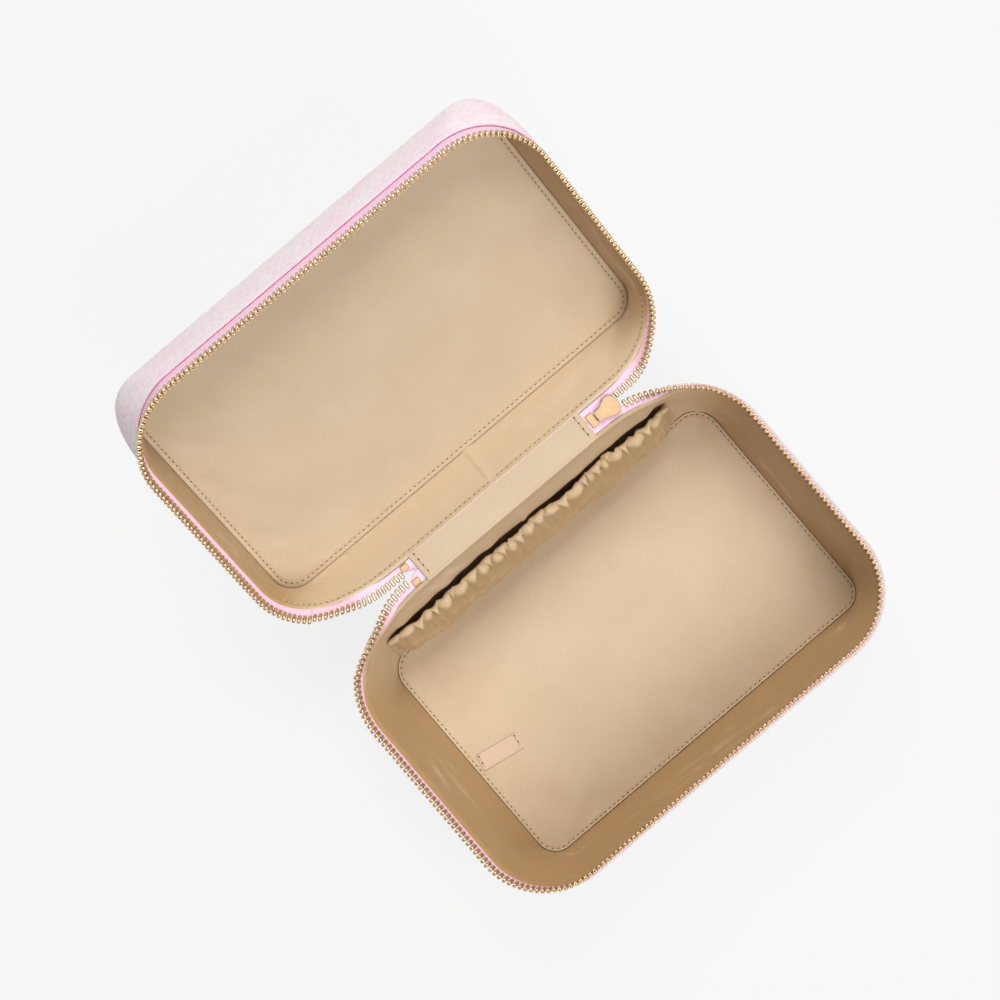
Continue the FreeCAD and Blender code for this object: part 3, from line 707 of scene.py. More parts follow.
# %% Gold metal and the hidden inner materials
def gold_finish(name, light, dark, smooth):
    """Pale gold plating with faint wiping marks and rougher spots."""
    gold = Finish(name, Metallic=1.0, Specular_IOR_Level=0.5)
    place = gold.place()
    spots = gold.noise(place, 420.0, 4.0)
    wiped = gold.node("Mapping", {"Vector": place, "Scale": (300.0, 4200.0, 4200.0)}).outputs[0]
    marks = gold.noise(wiped, 1.0, 2.0)
    colour = gold.colours(gold.ramp(spots, 0.3, 0.7), dark, light)
    rough = gold.ramp(spots, 0.2, 0.8, smooth, smooth + 0.12)
    rough = gold.math("ADD", rough, gold.ramp(marks, 0.3, 0.7, 0.0, 0.08))
    return gold.wear(colour, rough, gold.bump(marks, 0.00002, 0.35))


def board_finish():
    """Pressed board: matt, with darker flecks."""
    board = Finish("pressed_board")
    flecks = board.noise(board.place(), 900.0, 5.0, 0.7)
    colour = board.colours(board.ramp(flecks, 0.3, 0.7), tone(160, 140, 110), tone(196, 178, 150))
    return board.wear(colour, board.ramp(flecks, 0.2, 0.8, 0.75, 0.95), board.bump(flecks, 0.0002, 0.7))


def finish_node(node, finish):
    """A finish for a node that shows as it was packed."""
    shown = frame["nodes"][node]
    shown.data.materials.clear()
    shown.data.materials.append(finish)
    return shown


GOLD = gold_finish("pale_gold", tone(196, 170, 136), tone(181, 154, 119), 0.54)
TOOTH_GOLD = gold_finish("tooth_gold", tone(218, 195, 163), tone(192, 166, 131), 0.28)
BOARD = board_finish()
CORES = ("base_panel_board", "lid_panel_board", "hinge_board")
for node in CORES:
    finish_node(node, BOARD)
print("gold, and board for", len(CORES), "inner pieces")

# %% [markdown]
# ## Embossed leather outside
#
# The leather is pressed into a shallow pattern of domed scales, about five millimetres across. A
# bump map would be lost in the exported mesh, so the scales are real relief: each point is moved in
# by its distance from the nearest scale edge. The walls and the flat panels are separate hides that
# meet in a seam. The wall hide also stands for the stiff board behind it, because the rim sags.


# %% Scale relief
SEAT_ROWS, SEAT_COLS = 53, 61


def scale_relief(u, v, wide, tall, seed, turn=None):
    """Height of the scales, 0 in the grooves and 1 on the tops; with turn, u closes after it."""
    cols = round(turn / wide) if turn else SEAT_COLS
    wide = turn / cols if turn else wide
    jitter = np.random.default_rng(seed).uniform(-0.5, 0.5, (SEAT_ROWS, cols, 2))
    gu, gv = np.broadcast_arrays(np.asarray(u, float) / wide, np.asarray(v, float) / tall)
    row0 = np.floor(gv).astype(int)
    first = np.full(gu.shape, 9.0)
    second = first.copy()
    for row in (row0 - 1, row0, row0 + 1):
        shift = 0.5 * (row % 2)
        col0 = np.floor(gu - shift).astype(int)
        for col in (col0 - 1, col0, col0 + 1):
            seat = jitter[row % SEAT_ROWS, col % cols]
            away_u = gu - col - shift - 0.5 - 0.55 * seat[..., 0]
            away_v = (gv - row - 0.5 - 0.5 * seat[..., 1]) * tall / wide
            away = np.hypot(away_u, away_v)
            second = np.minimum(second, np.maximum(first, away))
            first = np.minimum(first, away)
    return ease((second - first) / 0.34) * (1.0 - 0.3 * first ** 2)


SCALE_DEPTH = 0.2
SCALE_W = 4.8
SCALE_H = 4.0
print("scales of", SCALE_W, "by", SCALE_H, "mm")

# %% Outer walls
RIM_DROP = 2.0
SEAM_SINK = 0.5


def rim_drop(outs):
    """How far the leather's edge lies below the lining's: most in front, nothing at the hinge."""
    return RIM_DROP * ease((0.6 - outs[:, 1]) / 0.5)


def corner_drop(outs, points):
    """How far the leather's rim drops: bevelled along the hinge, low where the tape turns over."""
    bevel = np.maximum(points[:, 1] - RIM_D / 2, 0.0)
    slant = ease((np.degrees(np.arctan2(outs[:, 1], np.abs(outs[:, 0]))) - 48.0) / 26.0)
    return np.maximum(bevel, 1.1 * slant)


def wall_hide(name, marks, seed):
    counts = ring_counts(0.95)
    depth = marks[0][0]
    outside = smooth_line(marks, 0.9)
    lip = np.array([(0.28, EDGE - 0.12), (0.4, EDGE - 0.5), (0.28, EDGE - 1.0), (-0.3, EDGE - LEATHER)])
    inside = np.array([(h, off - LEATHER) for h, off in reversed(marks[:-1])])
    profile = np.concatenate([outside, lip, inside])
    rim_line, rim_out = ring(grown(RIM_BOX, EDGE), R_FRONT + EDGE, R_BACK + EDGE, counts)
    around = along_length(rim_line, closed=True)
    drop = rim_drop(rim_out) + corner_drop(rim_out, rim_line)
    rows, relief_rows = [], []
    for i, (h, off) in enumerate(profile):
        line, out = wall_ring(name, off, h, depth, counts)
        level = depth + (h - depth) * (1 + drop / depth)
        relief = np.ones(len(line))
        if i < len(outside):
            relief = scale_relief(around[:-1], h, SCALE_W, SCALE_H, seed, around[-1])
            fade = ease(-h / 3.0) * ease((h - depth + 0.4) / 1.6)
            relief = 1 - (1 - relief) * (0.25 + 0.75 * fade)
            sink = SCALE_DEPTH * (1 - relief) + SEAM_SINK * (1 - ease((h - depth) / 1.2))
            line = line - out * sink[:, None]
        rows.append(stack(line[:, 0], line[:, 1], level))
        relief_rows.append(relief)
    points = np.array(rows)
    v = along_length(profile, closed=True)
    faces = grid_faces(len(profile), len(rim_line), True, True)
    flat = grid_flat(around, v, len(profile), len(rim_line), True, True)
    shown = {"relief": np.array(relief_rows)}
    return new_piece(name + "_wall_hide", placed_on(name, points), faces, [EMBOSSED], flat, shown)


dress(wall_hide("base", BASE_WALL, 3), "base", "embossed_leather", "base_wall_leather", "base_wall_board")
dress(wall_hide("lid", LID_WALL, 4), "lid", "embossed_leather", "lid_wall_leather", "lid_wall_board")


# %% Bottom and top panels
def panel_hide(name, marks, seed):
    counts = ring_counts(1.2)
    depth = marks[0][0]
    edge = smooth_line(marks, 0.8)
    flat_h = marks[-1][0]
    insets = np.linspace(marks[-1][1], -RIM_D / 2 + 0.2, 58)[1:]
    outer = np.concatenate([edge, np.stack([np.full(len(insets), flat_h), insets], -1)])
    inner_h = flat_h + LEATHER
    inner = np.array([(inner_h, insets[-1]), (inner_h, marks[-1][1]), (depth, marks[0][1] - LEATHER)])
    profile = np.concatenate([inner, outer])
    way = unit(np.gradient(profile, axis=0))
    rows, relief_rows = [], []
    for i, (h, off) in enumerate(profile):
        line, out = wall_ring(name, off, depth, depth, counts)
        relief = np.ones(len(line))
        level = np.full(len(line), h)
        if i >= len(inner):
            relief = scale_relief(line[:, 0] + 300, line[:, 1] + 300, SCALE_W * 1.15, SCALE_H * 1.1, seed)
            seam = 1 - ease((i - len(inner)) / 2.0)
            sink = SCALE_DEPTH * (1 - relief) * (1 - seam) + SEAM_SINK * seam
            line = line + out * (sink * way[i, 0])[:, None]
            level = level - sink * way[i, 1]
        rows.append(stack(line[:, 0], line[:, 1], level))
        relief_rows.append(relief)
    points = np.array(rows)
    faces = tube_faces(len(profile), points.shape[1])
    shown = {"relief": np.array(relief_rows)}
    return new_piece(name + "_panel_hide", placed_on(name, points), faces, [EMBOSSED], marks=shown)


dress(panel_hide("base", BASE_EDGE, 5), "base", "embossed_leather", "base_panel_leather")
dress(panel_hide("lid", LID_EDGE, 6), "lid", "embossed_leather", "lid_panel_leather")

# %% [markdown]
# ## Lining of the walls
#
# The lining is glued over foam, so it is nearly smooth, with soft dents and small puckers under the
# sewn rim. It runs in from the rim to the padded panel. Its join is in the middle of the hinge wall,
# where one end laps over the other. Behind the pocket it is loose and bags out. Towards the hinge it
# is painted lighter, a painted light, and faint painted highlights run along its wrinkle ridges.


# %% Outlines of the lining
TAPE_TOP = 4.3
LEAN_LEFT, LEAN_RIGHT, LEAN_FRONT, LEAN_BACK = 2.5, 0.3, 0.1, 0.3
SINK = 0.6


def leaning_ring(h, off, counts):
    """Outline above the rim, at the height and lean of the zip's tape."""
    k = max(h, 0.0) / TAPE_TOP
    x0, x1, y0, y1 = grown(RIM_BOX, off)
    box = (x0 - LEAN_LEFT * k, x1 + LEAN_RIGHT * k, y0 - LEAN_FRONT * k, y1 + LEAN_BACK * k)
    return ring(box, R_FRONT + off + 0.8 * k, R_BACK + off + 0.8 * k, counts)


def lining_floor(name):
    """Height at which the lining ends, just below the top of the padded panel."""
    return PAD_H[name][1] - SINK


def lining_box(name, h):
    """Box of the lining at a height, and how far its corners have opened from the panel's to the rim's."""
    share = np.maximum(1 - h / lining_floor(name), 0.0)
    box = [f + (r - f) * share for f, r in zip(grown(PAD[name], PAD_GAP), RIM_BOX)]
    return box, 1 - (1 - share) ** 2


def lining_outline(name, h, by, counts):
    box, turn = lining_box(name, h)
    r_front = PAD_R_FRONT + PAD_GAP + (R_FRONT - PAD_R_FRONT - PAD_GAP) * turn
    r_back = PAD_R_BACK + PAD_GAP + (R_BACK - PAD_R_BACK - PAD_GAP) * turn
    return ring(grown(box, by), r_front + by, r_back + by, counts)


print("lining ends at", lining_floor("base"), "and", lining_floor("lid"), "mm from the rims")

# %% Wall lining
CLOTH = 0.6
STITCH_PITCH = 2.7
RIM_SEAM = 1.9
LIPS = [(2.3, 0.72), (2.38, 0.5), (2.25, 0.34), (1.2, 0.3), (0.35, 0.2)]


def wall_cloth(name, seed, soft):
    floor_h = lining_floor(name)
    counts = ring_counts(1.0)
    rim_line, _ = ring(RIM_BOX, R_FRONT, R_BACK, counts)
    around = along_length(rim_line, closed=True)
    total = around[-1]
    u = around[:-1]
    inside = np.concatenate([[-0.15, -0.5], np.arange(-1.0, floor_h, -1.3), [floor_h]])
    profile = LIPS + [(h, 0.0) for h in inside] + [(h, CLOTH) for h in inside[::-1]] + [(0.05, CLOTH)]
    lap = np.where(u < total / 2, ease(1 - u / 4.0), 0.0)
    rows, painted_light_rows = [], []
    for h, by in profile:
        line, out = lining_outline(name, min(h, 0.0), by, counts)
        level = np.full(len(line), h)
        if (h, by) in LIPS:
            h = h if name == "base" else h * 0.4
            upright, _ = leaning_ring(h, by, counts)
            laid, _ = ring(grown(RIM_BOX, by * 2.4), R_FRONT + by * 2.4, R_BACK + by * 2.4, counts)
            over = ease((np.degrees(np.arctan2(out[:, 1], np.abs(out[:, 0]))) - 15.0) / 30.0)
            line = upright + (laid - upright) * over[:, None]
            level = h + (0.1 * h - h) * over
        # Painted light: the cloth is painted lighter towards the hinge wall, most on the lid.
        painted_light_rows.append(ease((out[:, 1] - 0.25) / 0.7) * (0.95 if name == "lid" else 0.6))
        if by == 0.0:
            deep = -h
            waves = soft_noise(u, deep, 26.0, 15.0, seed, total) * 0.5
            waves = waves + soft_noise(u, deep, 9.0, 8.0, seed + 1, total) * 0.22
            near_seam = math.exp(-((deep - RIM_SEAM) / 1.3) ** 2)
            pucker = np.cos(2 * math.pi * u / (STITCH_PITCH * 2)) * 0.1 * near_seam
            held = ease(deep / 7.0) * ease((deep + floor_h) / floor_h * 4.0)
            ridge = (1 - np.abs(soft_noise(u + 0.8 * deep, deep - 0.25 * u, 24.0, 6.0, seed + 7))) ** 7
            ridge = ridge * ease(soft_noise(u, deep, 40.0, 21.0, seed + 9, total) * 2.2)
            # Painted highlights: lighter streaks along the wrinkle ridges stand in for the satin's sheen.
            painted_light_rows[-1] = painted_light_rows[-1] + 0.6 * ridge * held
            drawn_in = 0.22 * math.exp(-((deep - RIM_SEAM) / 0.8) ** 2)
            move = soft * (waves - 0.55 * ridge) * held + pucker + drawn_in
            move = move - 0.7 * lap * ease((deep - 1.0) / 2.0)
            if name == "base":
                behind = ease((out[:, 1] - 0.8) / 0.2) * ease((82.0 - np.abs(line[:, 0])) / 12.0)
                loose = 2.9 + 0.75 * soft_noise(u, deep, 6.5, 13.0, seed + 5, total)
                move = move - behind * loose * math.exp(-((deep - 10.5) / 6.0) ** 2)
            line = line + out * np.minimum(move, 0.3)[:, None]
        rows.append(stack(line[:, 0], line[:, 1], level))
    points = np.array(rows)
    v = along_length(np.array([(h, 8 * by) for h, by in profile]), closed=True)
    faces = grid_faces(len(profile), len(u), True, True)
    flat = grid_flat(around, v, len(profile), len(u), True, True)
    which = np.repeat([int(by == CLOTH) for _, by in profile], len(u))
    marks = {"painted_light": np.array(painted_light_rows)}
    finishes = [SHADED_LINING, TAPE_CLOTH]
    return new_piece(name + "_wall_cloth", placed_on(name, points), faces, finishes, flat, marks, which)


dress(wall_cloth("base", 11, 1.0), "base", "lining_cloth", "base_wall_lining", "base_wall_foam")
dress(wall_cloth("lid", 17, 0.8), "lid", "lining_cloth", "lid_wall_lining", "lid_wall_foam")

# %% [markdown]
# ## Padded panels
#
# Each panel is a board wrapped in thin foam and cloth, sewn round close to its edge. Inside the
# seam the cloth swells a little. That swell is simulated: a sheet of cloth, held round its edge, is
# blown up from below and comes out with slack folds in its corners. Its heights are then laid over a
# finer panel with a drawn-in edge and a sewn channel, because a channel is narrower than the
# simulated grid.


# %% Simulated swell
def blown_cloth(width, depth, step, slack, frames):
    """Heights of a sheet of cloth held round its edge and blown up, scaled to 1 at its top."""
    cols, rows = round(width / step) + 1, round(depth / step) + 1
    x, y = np.meshgrid(np.linspace(0, width, cols), np.linspace(0, depth, rows))
    start = ease(np.minimum(np.minimum(x, width - x), np.minimum(y, depth - y)) / 25.0)
    rise = 0.6 * start + 0.25 * soft_noise(x, y, 14.0, 12.0, 41) * start
    sheet = new_piece("swell_cloth", stack(x, y, rise), grid_faces(rows, cols), [], closed=False)
    held = sheet.vertex_groups.new(name="held")
    rim = (x == 0) | (x == x.max()) | (y == 0) | (y == y.max())
    held.add(np.flatnonzero(rim.ravel()).tolist(), 1.0, "REPLACE")
    cloth = sheet.modifiers.new("swell", "CLOTH")
    cloth.settings.vertex_group_mass = "held"
    cloth.settings.quality = 5
    cloth.settings.use_pressure = True
    cloth.settings.uniform_pressure_force = 4.0
    cloth.settings.shrink_min = -slack
    cloth.settings.bending_stiffness = 1.5
    cloth.settings.effector_weights.gravity = 0.0
    cloth.point_cache.frame_end = frames
    for number in range(1, frames + 1):
        scene.frame_set(number)
    solved = sheet.evaluated_get(bpy.context.evaluated_depsgraph_get())
    co = np.zeros(rows * cols * 3, np.float32)
    solved.data.vertices.foreach_get("co", co)
    bpy.data.objects.remove(sheet)
    scene.frame_set(1)
    heights = co.reshape(rows, cols, 3)[..., 2] / MM
    print("swell reached", round(float(heights.max()), 2), "mm")
    return heights / max(float(heights.max()), 1e-6)


def sampled(heights, x, y, width, depth):
    """Heights of the simulated grid at other places, smooth between its points and 0 outside."""
    rows, cols = heights.shape
    gx, gy = np.clip(x / width, 0, 1) * (cols - 1), np.clip(y / depth, 0, 1) * (rows - 1)
    ix, iy = np.minimum(gx.astype(int), cols - 2), np.minimum(gy.astype(int), rows - 2)
    fx, fy = gx - ix, gy - iy
    near = heights[iy, ix] * (1 - fx) + heights[iy, ix + 1] * fx
    far = heights[iy + 1, ix] * (1 - fx) + heights[iy + 1, ix + 1] * fx
    return near * (1 - fy) + far * fy


# %% Panel outline and grid
SEAM_IN = {"base": 1.6, "lid": 2.5}
SWELL_BY = {"base": 0.9, "lid": 0.7}
SWELLS = {}
PAD_BODY = 0.8
PAD_ROOM = 0.35
PAD_STEP = 1.7
PAD_EDGE_R = 0.45
CHANNEL = 0.2
EDGE_STEPS = [0.0, 0.05, 0.15, 0.3, 0.5, 0.9, 1.25, 1.6, 1.95, 2.25, 2.5, 2.8, 3.2, 3.8, 4.8, 6.2, 8.0]


def edge_distance(x, y, box):
    """Distance in from the panel's outline, whose corners are round."""
    x0, x1, y0, y1 = box
    r = np.where(y < (y0 + y1) / 2, PAD_R_FRONT, PAD_R_BACK)
    dx, dy = np.minimum(x - x0, x1 - x), np.minimum(y - y0, y1 - y)
    round_off = r - np.hypot(np.maximum(r - dx, 0.0), np.maximum(r - dy, 0.0))
    return np.where((dx < r) & (dy < r), round_off, np.minimum(dx, dy))


def spread(length, step):
    """Places along a side: close together near both ends, about one per step between."""
    ends = np.array(EDGE_STEPS)
    middle = np.linspace(ends[-1], length - ends[-1], round((length - 2 * ends[-1]) / step))
    return np.concatenate([ends[:-1], middle, length - ends[:-1][::-1]])


def pad_grid(box, step):
    x0, x1, y0, y1 = box
    down = spread(y1 - y0, step)
    cols = len(spread(x1 - x0, step))
    rows = []
    for dy in down:
        near, r = min(dy, y1 - y0 - dy), PAD_R_FRONT if dy < (y1 - y0) / 2 else PAD_R_BACK
        cut = r - math.sqrt(max(r * r - max(r - near, 0.0) ** 2, 0.0))
        across = spread(x1 - x0, step)
        across = cut + across * (x1 - x0 - 2 * cut) / (x1 - x0)
        rows.append(np.stack([x0 + across, np.full(cols, y0 + dy)], -1))
    return np.array(rows)


print("panel grid of", pad_grid(PAD["base"], PAD_STEP).shape[:2], "points")


# %% Panel form
def pad_level(name, x, y):
    """Height of a panel's cloth: a round edge, a sewn channel, and the swell with its slack folds."""
    box, seam = PAD[name], SEAM_IN[name]
    low, high = PAD_H[name]
    rise = high - low - PAD_BODY - PAD_ROOM
    inset = np.maximum(edge_distance(x, y, box), 0.0)
    top = rise * np.sqrt(np.clip(1 - (1 - np.clip(inset / PAD_EDGE_R, 0, 1)) ** 2, 0, 1))
    channel = CHANNEL * np.exp(-((inset - seam) / 0.5) ** 2)
    width, depth = box[1] - box[0] - 2 * seam, box[3] - box[2] - 2 * seam
    blown = sampled(SWELLS[name], x - box[0] - seam, y - box[2] - seam, width, depth)
    waves = 0.22 * soft_noise(x + 300, y + 300, 22.0, 17.0, 23) * ease((inset - 6) / 12)
    slack = soft_noise(x - y + 600, (x + y) * 0.5 + 300, 9.0, 30.0, 27)
    slack = slack * np.exp(-((inset - 14) / 9.0) ** 2)
    slack = slack * (0.2 + 0.35 * ease(-(x + y + 40.0) / 60.0))
    waves = waves + slack * ease((np.hypot(x, y) - 55.0) / 40.0)
    pucker = 0.07 * soft_noise(x + 300, y + 300, 3.2, 3.2, 29) * np.exp(-((inset - seam - 1.2) / 1.8) ** 2)
    swell = (SWELL_BY[name] * blown + waves) * ease((inset - seam) / 3.0)
    return low + PAD_BODY + (top - channel + swell + pucker)


def padded_piece(name):
    box = PAD[name]
    grid = pad_grid(box, PAD_STEP)
    rows, cols = grid.shape[:2]
    x, y = grid[..., 0], grid[..., 1]
    rim = [(0, c) for c in range(cols)] + [(r, cols - 1) for r in range(1, rows)]
    rim += [(rows - 1, c) for c in range(cols - 2, -1, -1)] + [(r, 0) for r in range(rows - 2, 0, -1)]
    top = stack(x, y, pad_level(name, x, y)).reshape(-1, 3)
    loop = np.array([r * cols + c for r, c in rim])
    centre = np.array([(box[0] + box[1]) / 2, (box[2] + box[3]) / 2])
    under = top[loop].copy()
    under[:, :2] = centre + (under[:, :2] - centre) * 0.994
    under[:, 2] = PAD_H[name][0] + 0.05
    faces = grid_faces(rows, cols).tolist()
    start = rows * cols
    count = len(loop)
    for i in range(count):
        after = (i + 1) % count
        faces.append([int(loop[i]), int(loop[after]), start + after, start + i])
    faces.append([start + i for i in range(count)])
    points = np.concatenate([top, under])
    flat = grid_flat(x[rows // 2], y[:, 0], rows, cols)
    return new_piece(name + "_pad", placed_on(name, points), faces, [LIT_PADDED], flat)


SWELL_STEP = 3.0
SWELL_SLACK = 0.012
SWELL_FRAMES = 22
for half, box in PAD.items():
    span = (box[1] - box[0] - 2 * SEAM_IN[half], box[3] - box[2] - 2 * SEAM_IN[half])
    SWELLS[half] = blown_cloth(span[0], span[1], SWELL_STEP, SWELL_SLACK, SWELL_FRAMES)
base_pad = dress(padded_piece("base"), "base", "padded_cloth", "base_padded_panel")
lid_pad = dress(padded_piece("lid"), "lid", "padded_cloth", "lid_padded_panel")

# %% [markdown]
# ## Stitching
#
# From a step away a seam reads as light thread between small dark needle holes. Both are modelled: a
# short bowed thread and a shallow dimple painted dark, a painted shade for the hole, copied along a
# line. One helper copies any small form to many places, and the zip's teeth use it too.


# %% Copies along a line
def tube_form(rings, sides, power=2.0):
    """Closed form from rings of (along, half width, half height, lift); a superellipse in section."""
    turn = np.arange(sides) * 2 * math.pi / sides
    c, s = np.cos(turn), np.sin(turn)
    cx = np.sign(c) * np.abs(c) ** (2 / power)
    cy = np.sign(s) * np.abs(s) ** (2 / power)
    loops = [np.stack([np.full(sides, a), w * cx, lift + t * cy], -1) for a, w, t, lift in rings]
    return np.concatenate(loops), tube_faces(len(rings), sides)


def copies(form, origins, axes):
    """The form at each origin, its own axes turned to the given three directions."""
    points, faces = form
    placed = origins[:, None, :] + np.einsum("pk,nkc->npc", points, axes)
    count = len(points)
    every = [[n * count + i for i in face] for n in range(len(origins)) for face in faces]
    return placed.reshape(-1, 3), every


def frames_along(line, ups, pitch, closed=False):
    """Places every pitch along a line: origin, direction, side and up."""
    reach = along_length(line, closed)
    ends = np.concatenate([line, line[:1]]) if closed else line
    lifts = np.concatenate([ups, ups[:1]]) if closed else ups
    count = max(int(reach[-1] / pitch), 1)
    s = (np.arange(count) + 0.5) * reach[-1] / count
    way = unit(at_length(ends, reach, s + 0.4) - at_length(ends, reach, s - 0.4))
    side = unit(np.cross(at_length(lifts, reach, s), way))
    return at_length(ends, reach, s), np.stack([way, side, np.cross(way, side)], 1)


THREAD_FORM = tube_form([(-0.95, 0.1, 0.08, -0.12), (-0.75, 0.24, 0.17, 0.02), (-0.3, 0.3, 0.2, 0.1),
                         (0.3, 0.3, 0.2, 0.1), (0.75, 0.24, 0.17, 0.02), (0.95, 0.1, 0.08, -0.12)], 6)
HOLE_SHADE_FORM = tube_form([(-0.62, 0.08, 0.03, 0.0), (-0.35, 0.3, 0.08, 0.02), (0.35, 0.3, 0.08, 0.02),
                       (0.62, 0.08, 0.03, 0.0)], 6)


def sewn_line(name, body, line, ups, closed=False, thread=THREAD):
    origin, axes = frames_along(line, ups, STITCH_PITCH, closed)
    half = axes[:, 0] * (STITCH_PITCH / 2)
    threads, thread_faces = copies(THREAD_FORM, origin, axes)
    # The dark dimples are painted shade, put where a needle hole lies in shadow.
    hole_shades, hole_shade_faces = copies(HOLE_SHADE_FORM, origin + half, axes)
    faces = thread_faces + [[i + len(threads) for i in face] for face in hole_shade_faces]
    which = np.repeat([0, 1], [len(thread_faces), len(hole_shade_faces)])
    points = np.concatenate([threads, hole_shades])
    piece = new_piece(name, points, faces, [thread, NEEDLE_HOLE_SHADE], face_finish=which)
    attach(piece, body)
    print(name, len(origin), "stitches on", body)
    return piece


# %% Seams of the panels and the rims
def pad_seam(name):
    counts = ring_counts(1.5)
    seam = SEAM_IN[name]
    line, _ = ring(grown(PAD[name], -seam), PAD_R_FRONT - seam, PAD_R_BACK - seam, counts)
    level = pad_level(name, line[:, 0], line[:, 1])
    place = HALVES[name]
    points = place(line[:, 0], line[:, 1], level)
    ups = place(line[:, 0], line[:, 1], level + 1.0) - points
    return sewn_line(name + "_pad_seam", name, points, ups, closed=True)


def rim_seam(name):
    """Seam just below the lining's edge on the hinge wall, running out into both corners."""
    counts = ring_counts(1.5)
    line, out = lining_outline(name, -RIM_SEAM, 0.1, counts)
    first = int(np.argmax(out[:, 1] < 0.35))
    last = len(out) - int(np.argmax(out[::-1, 1] < 0.35))
    line, out = np.concatenate([line[last:], line[:first]]), np.concatenate([out[last:], out[:first]])
    place = HALVES[name]
    points = place(line[:, 0], line[:, 1], -RIM_SEAM)
    ups = place(line[:, 0] - out[:, 0], line[:, 1] - out[:, 1], -RIM_SEAM) - points
    return sewn_line(name + "_rim_seam", name, points, ups)


pad_seam("base")
pad_seam("lid")
rim_seam("lid")

# %% [markdown]
# ## Painted edge of the leather
#
# The cut edge of the leather is painted a stronger pink. It shows as a thin line between leather
# and tape, so it is a small bead that follows the rim and stops where the tape turns over.


# %% Edge bead
BEAD_IN = 0.45
BEAD_HALF = (0.34, 0.26)
BEAD_SIDES = 8


def edge_bead(name):
    counts = ring_counts(1.2)
    off = EDGE - BEAD_IN
    line, out = ring(grown(RIM_BOX, off), R_FRONT + off, R_BACK + off, counts)
    slant = np.degrees(np.arctan2(out[:, 1], np.abs(out[:, 0])))
    line, out = line[slant < 46.0], out[slant < 46.0]
    rows = []
    for a in np.arange(BEAD_SIDES) * 2 * math.pi / BEAD_SIDES:
        strand = line + out * BEAD_HALF[0] * math.cos(a)
        rows.append(stack(strand[:, 0], strand[:, 1], 0.3 - rim_drop(out) + BEAD_HALF[1] * math.sin(a)))
    points = np.array(rows)
    count = points.shape[1]
    faces = grid_faces(BEAD_SIDES, count, True, False).tolist()
    faces.append([r * count for r in range(BEAD_SIDES)])
    faces.append([r * count + count - 1 for r in reversed(range(BEAD_SIDES))])
    return new_piece(name + "_edge_bead", placed_on(name, points), faces, [EDGE_PAINT])


dress(edge_bead("base"), "base", "edge_paint", "base_rim_edge")
dress(edge_bead("lid"), "lid", "edge_paint", "lid_rim_edge")

# %% [markdown]
# ## Zip
#
# The tape stands on the rim, leaning out a little, and carries metal teeth. At the two ends of the
# hinge it twists over from upright to flat. Those ends bend when the lid folds, so they are pieces
# of their own, shaped for the open lid.

# %% Zip sizes and paths
TAPE = 0.6
TAPE_MID = 1.1
TAPE_FOOT = -5.4
PITCH = 2.5
SLIDER_X0 = 54.0
SLIDER_LEN = 12.0
STOP_X = 51.8


def tape_line(h, off, counts):
    """The tape's open run, from the middle of one hinge corner round to the middle of the other."""
    line, out = leaning_ring(h, off, counts)
    runs, last_run = counts
    first = runs[0][0] + runs[0][1] // 2
    last = len(line) - last_run - runs[3][1] // 2
    return line[first:last + 1], out[first:last + 1]


def ribbon_mesh(name, loops, finish, painted_light=0.0):
    """Closed ribbon from a loop of points at each place along it, with capped ends."""
    loops = np.asarray(loops)
    rows, cols = loops.shape[:2]
    faces = tube_faces(rows, cols)
    u = along_length(loops[0], closed=True)
    v = along_length(loops[:, 0])
    # A painted light amount, when given, paints the ribbon lighter.
    marks = {"painted_light": np.full(rows * cols, painted_light)} if painted_light else None
    return new_piece(name, loops, faces, [finish], grid_flat(u, v, rows, cols, False, True), marks)


print("zip pitch", PITCH, "mm, slider from", SLIDER_X0, "mm along the hinge")


# %% Main tapes
def main_tape(name):
    counts = ring_counts(1.2)
    levels = [TAPE_FOOT, -2.5, 0.0, 1.1, 2.2, 3.3, TAPE_TOP, TAPE_TOP + 0.7]
    strands = []
    for side, order in ((1, levels), (-1, levels[::-1])):
        for h in order:
            line, out = tape_line(h, TAPE_MID, counts)
            ripple = 0.05 * np.cos(2 * math.pi * along_length(line) / PITCH) * ease(h / TAPE_TOP)
            line = line + out * (side * TAPE / 2 + ripple)[:, None]
            strands.append(HALVES[name](line[:, 0], line[:, 1], np.full(len(line), h)))
    loops = np.array(strands).transpose(1, 0, 2)
    return ribbon_mesh(name + "_tape", loops, TAPE_CLOTH)


dress(main_tape("base"), "base", "zip_tape", "base_zip_tape")
dress(main_tape("lid"), "lid", "zip_tape", "lid_zip_tape")

# %% Teeth
TOOTH_RINGS = [(4.0, 1.0, 0.55), (4.15, 1.22, 0.86), (4.7, 1.28, 0.96), (5.2, 1.2, 0.86)]
TOOTH_RINGS += [(5.55, 1.16, 0.82), (6.1, 1.28, 0.92), (6.7, 1.25, 0.9), (7.1, 1.12, 0.8)]
TOOTH_RINGS += [(7.38, 0.9, 0.62), (7.44, 0.74, 0.48), (7.3, 0.64, 0.36), (6.95, 0.56, 0.28)]
TOOTH_RINGS += [(6.6, 0.48, 0.22)]
TOOTH = tube_form([(e, n, a, 0.0) for e, n, a in TOOTH_RINGS], 14, 2.7)


def tooth_axes(rise, way):
    """Axes of a tooth: up the tape, out of it and along it."""
    way = unit(way)
    return np.stack([rise, unit(np.cross(way, rise)), way], 1)


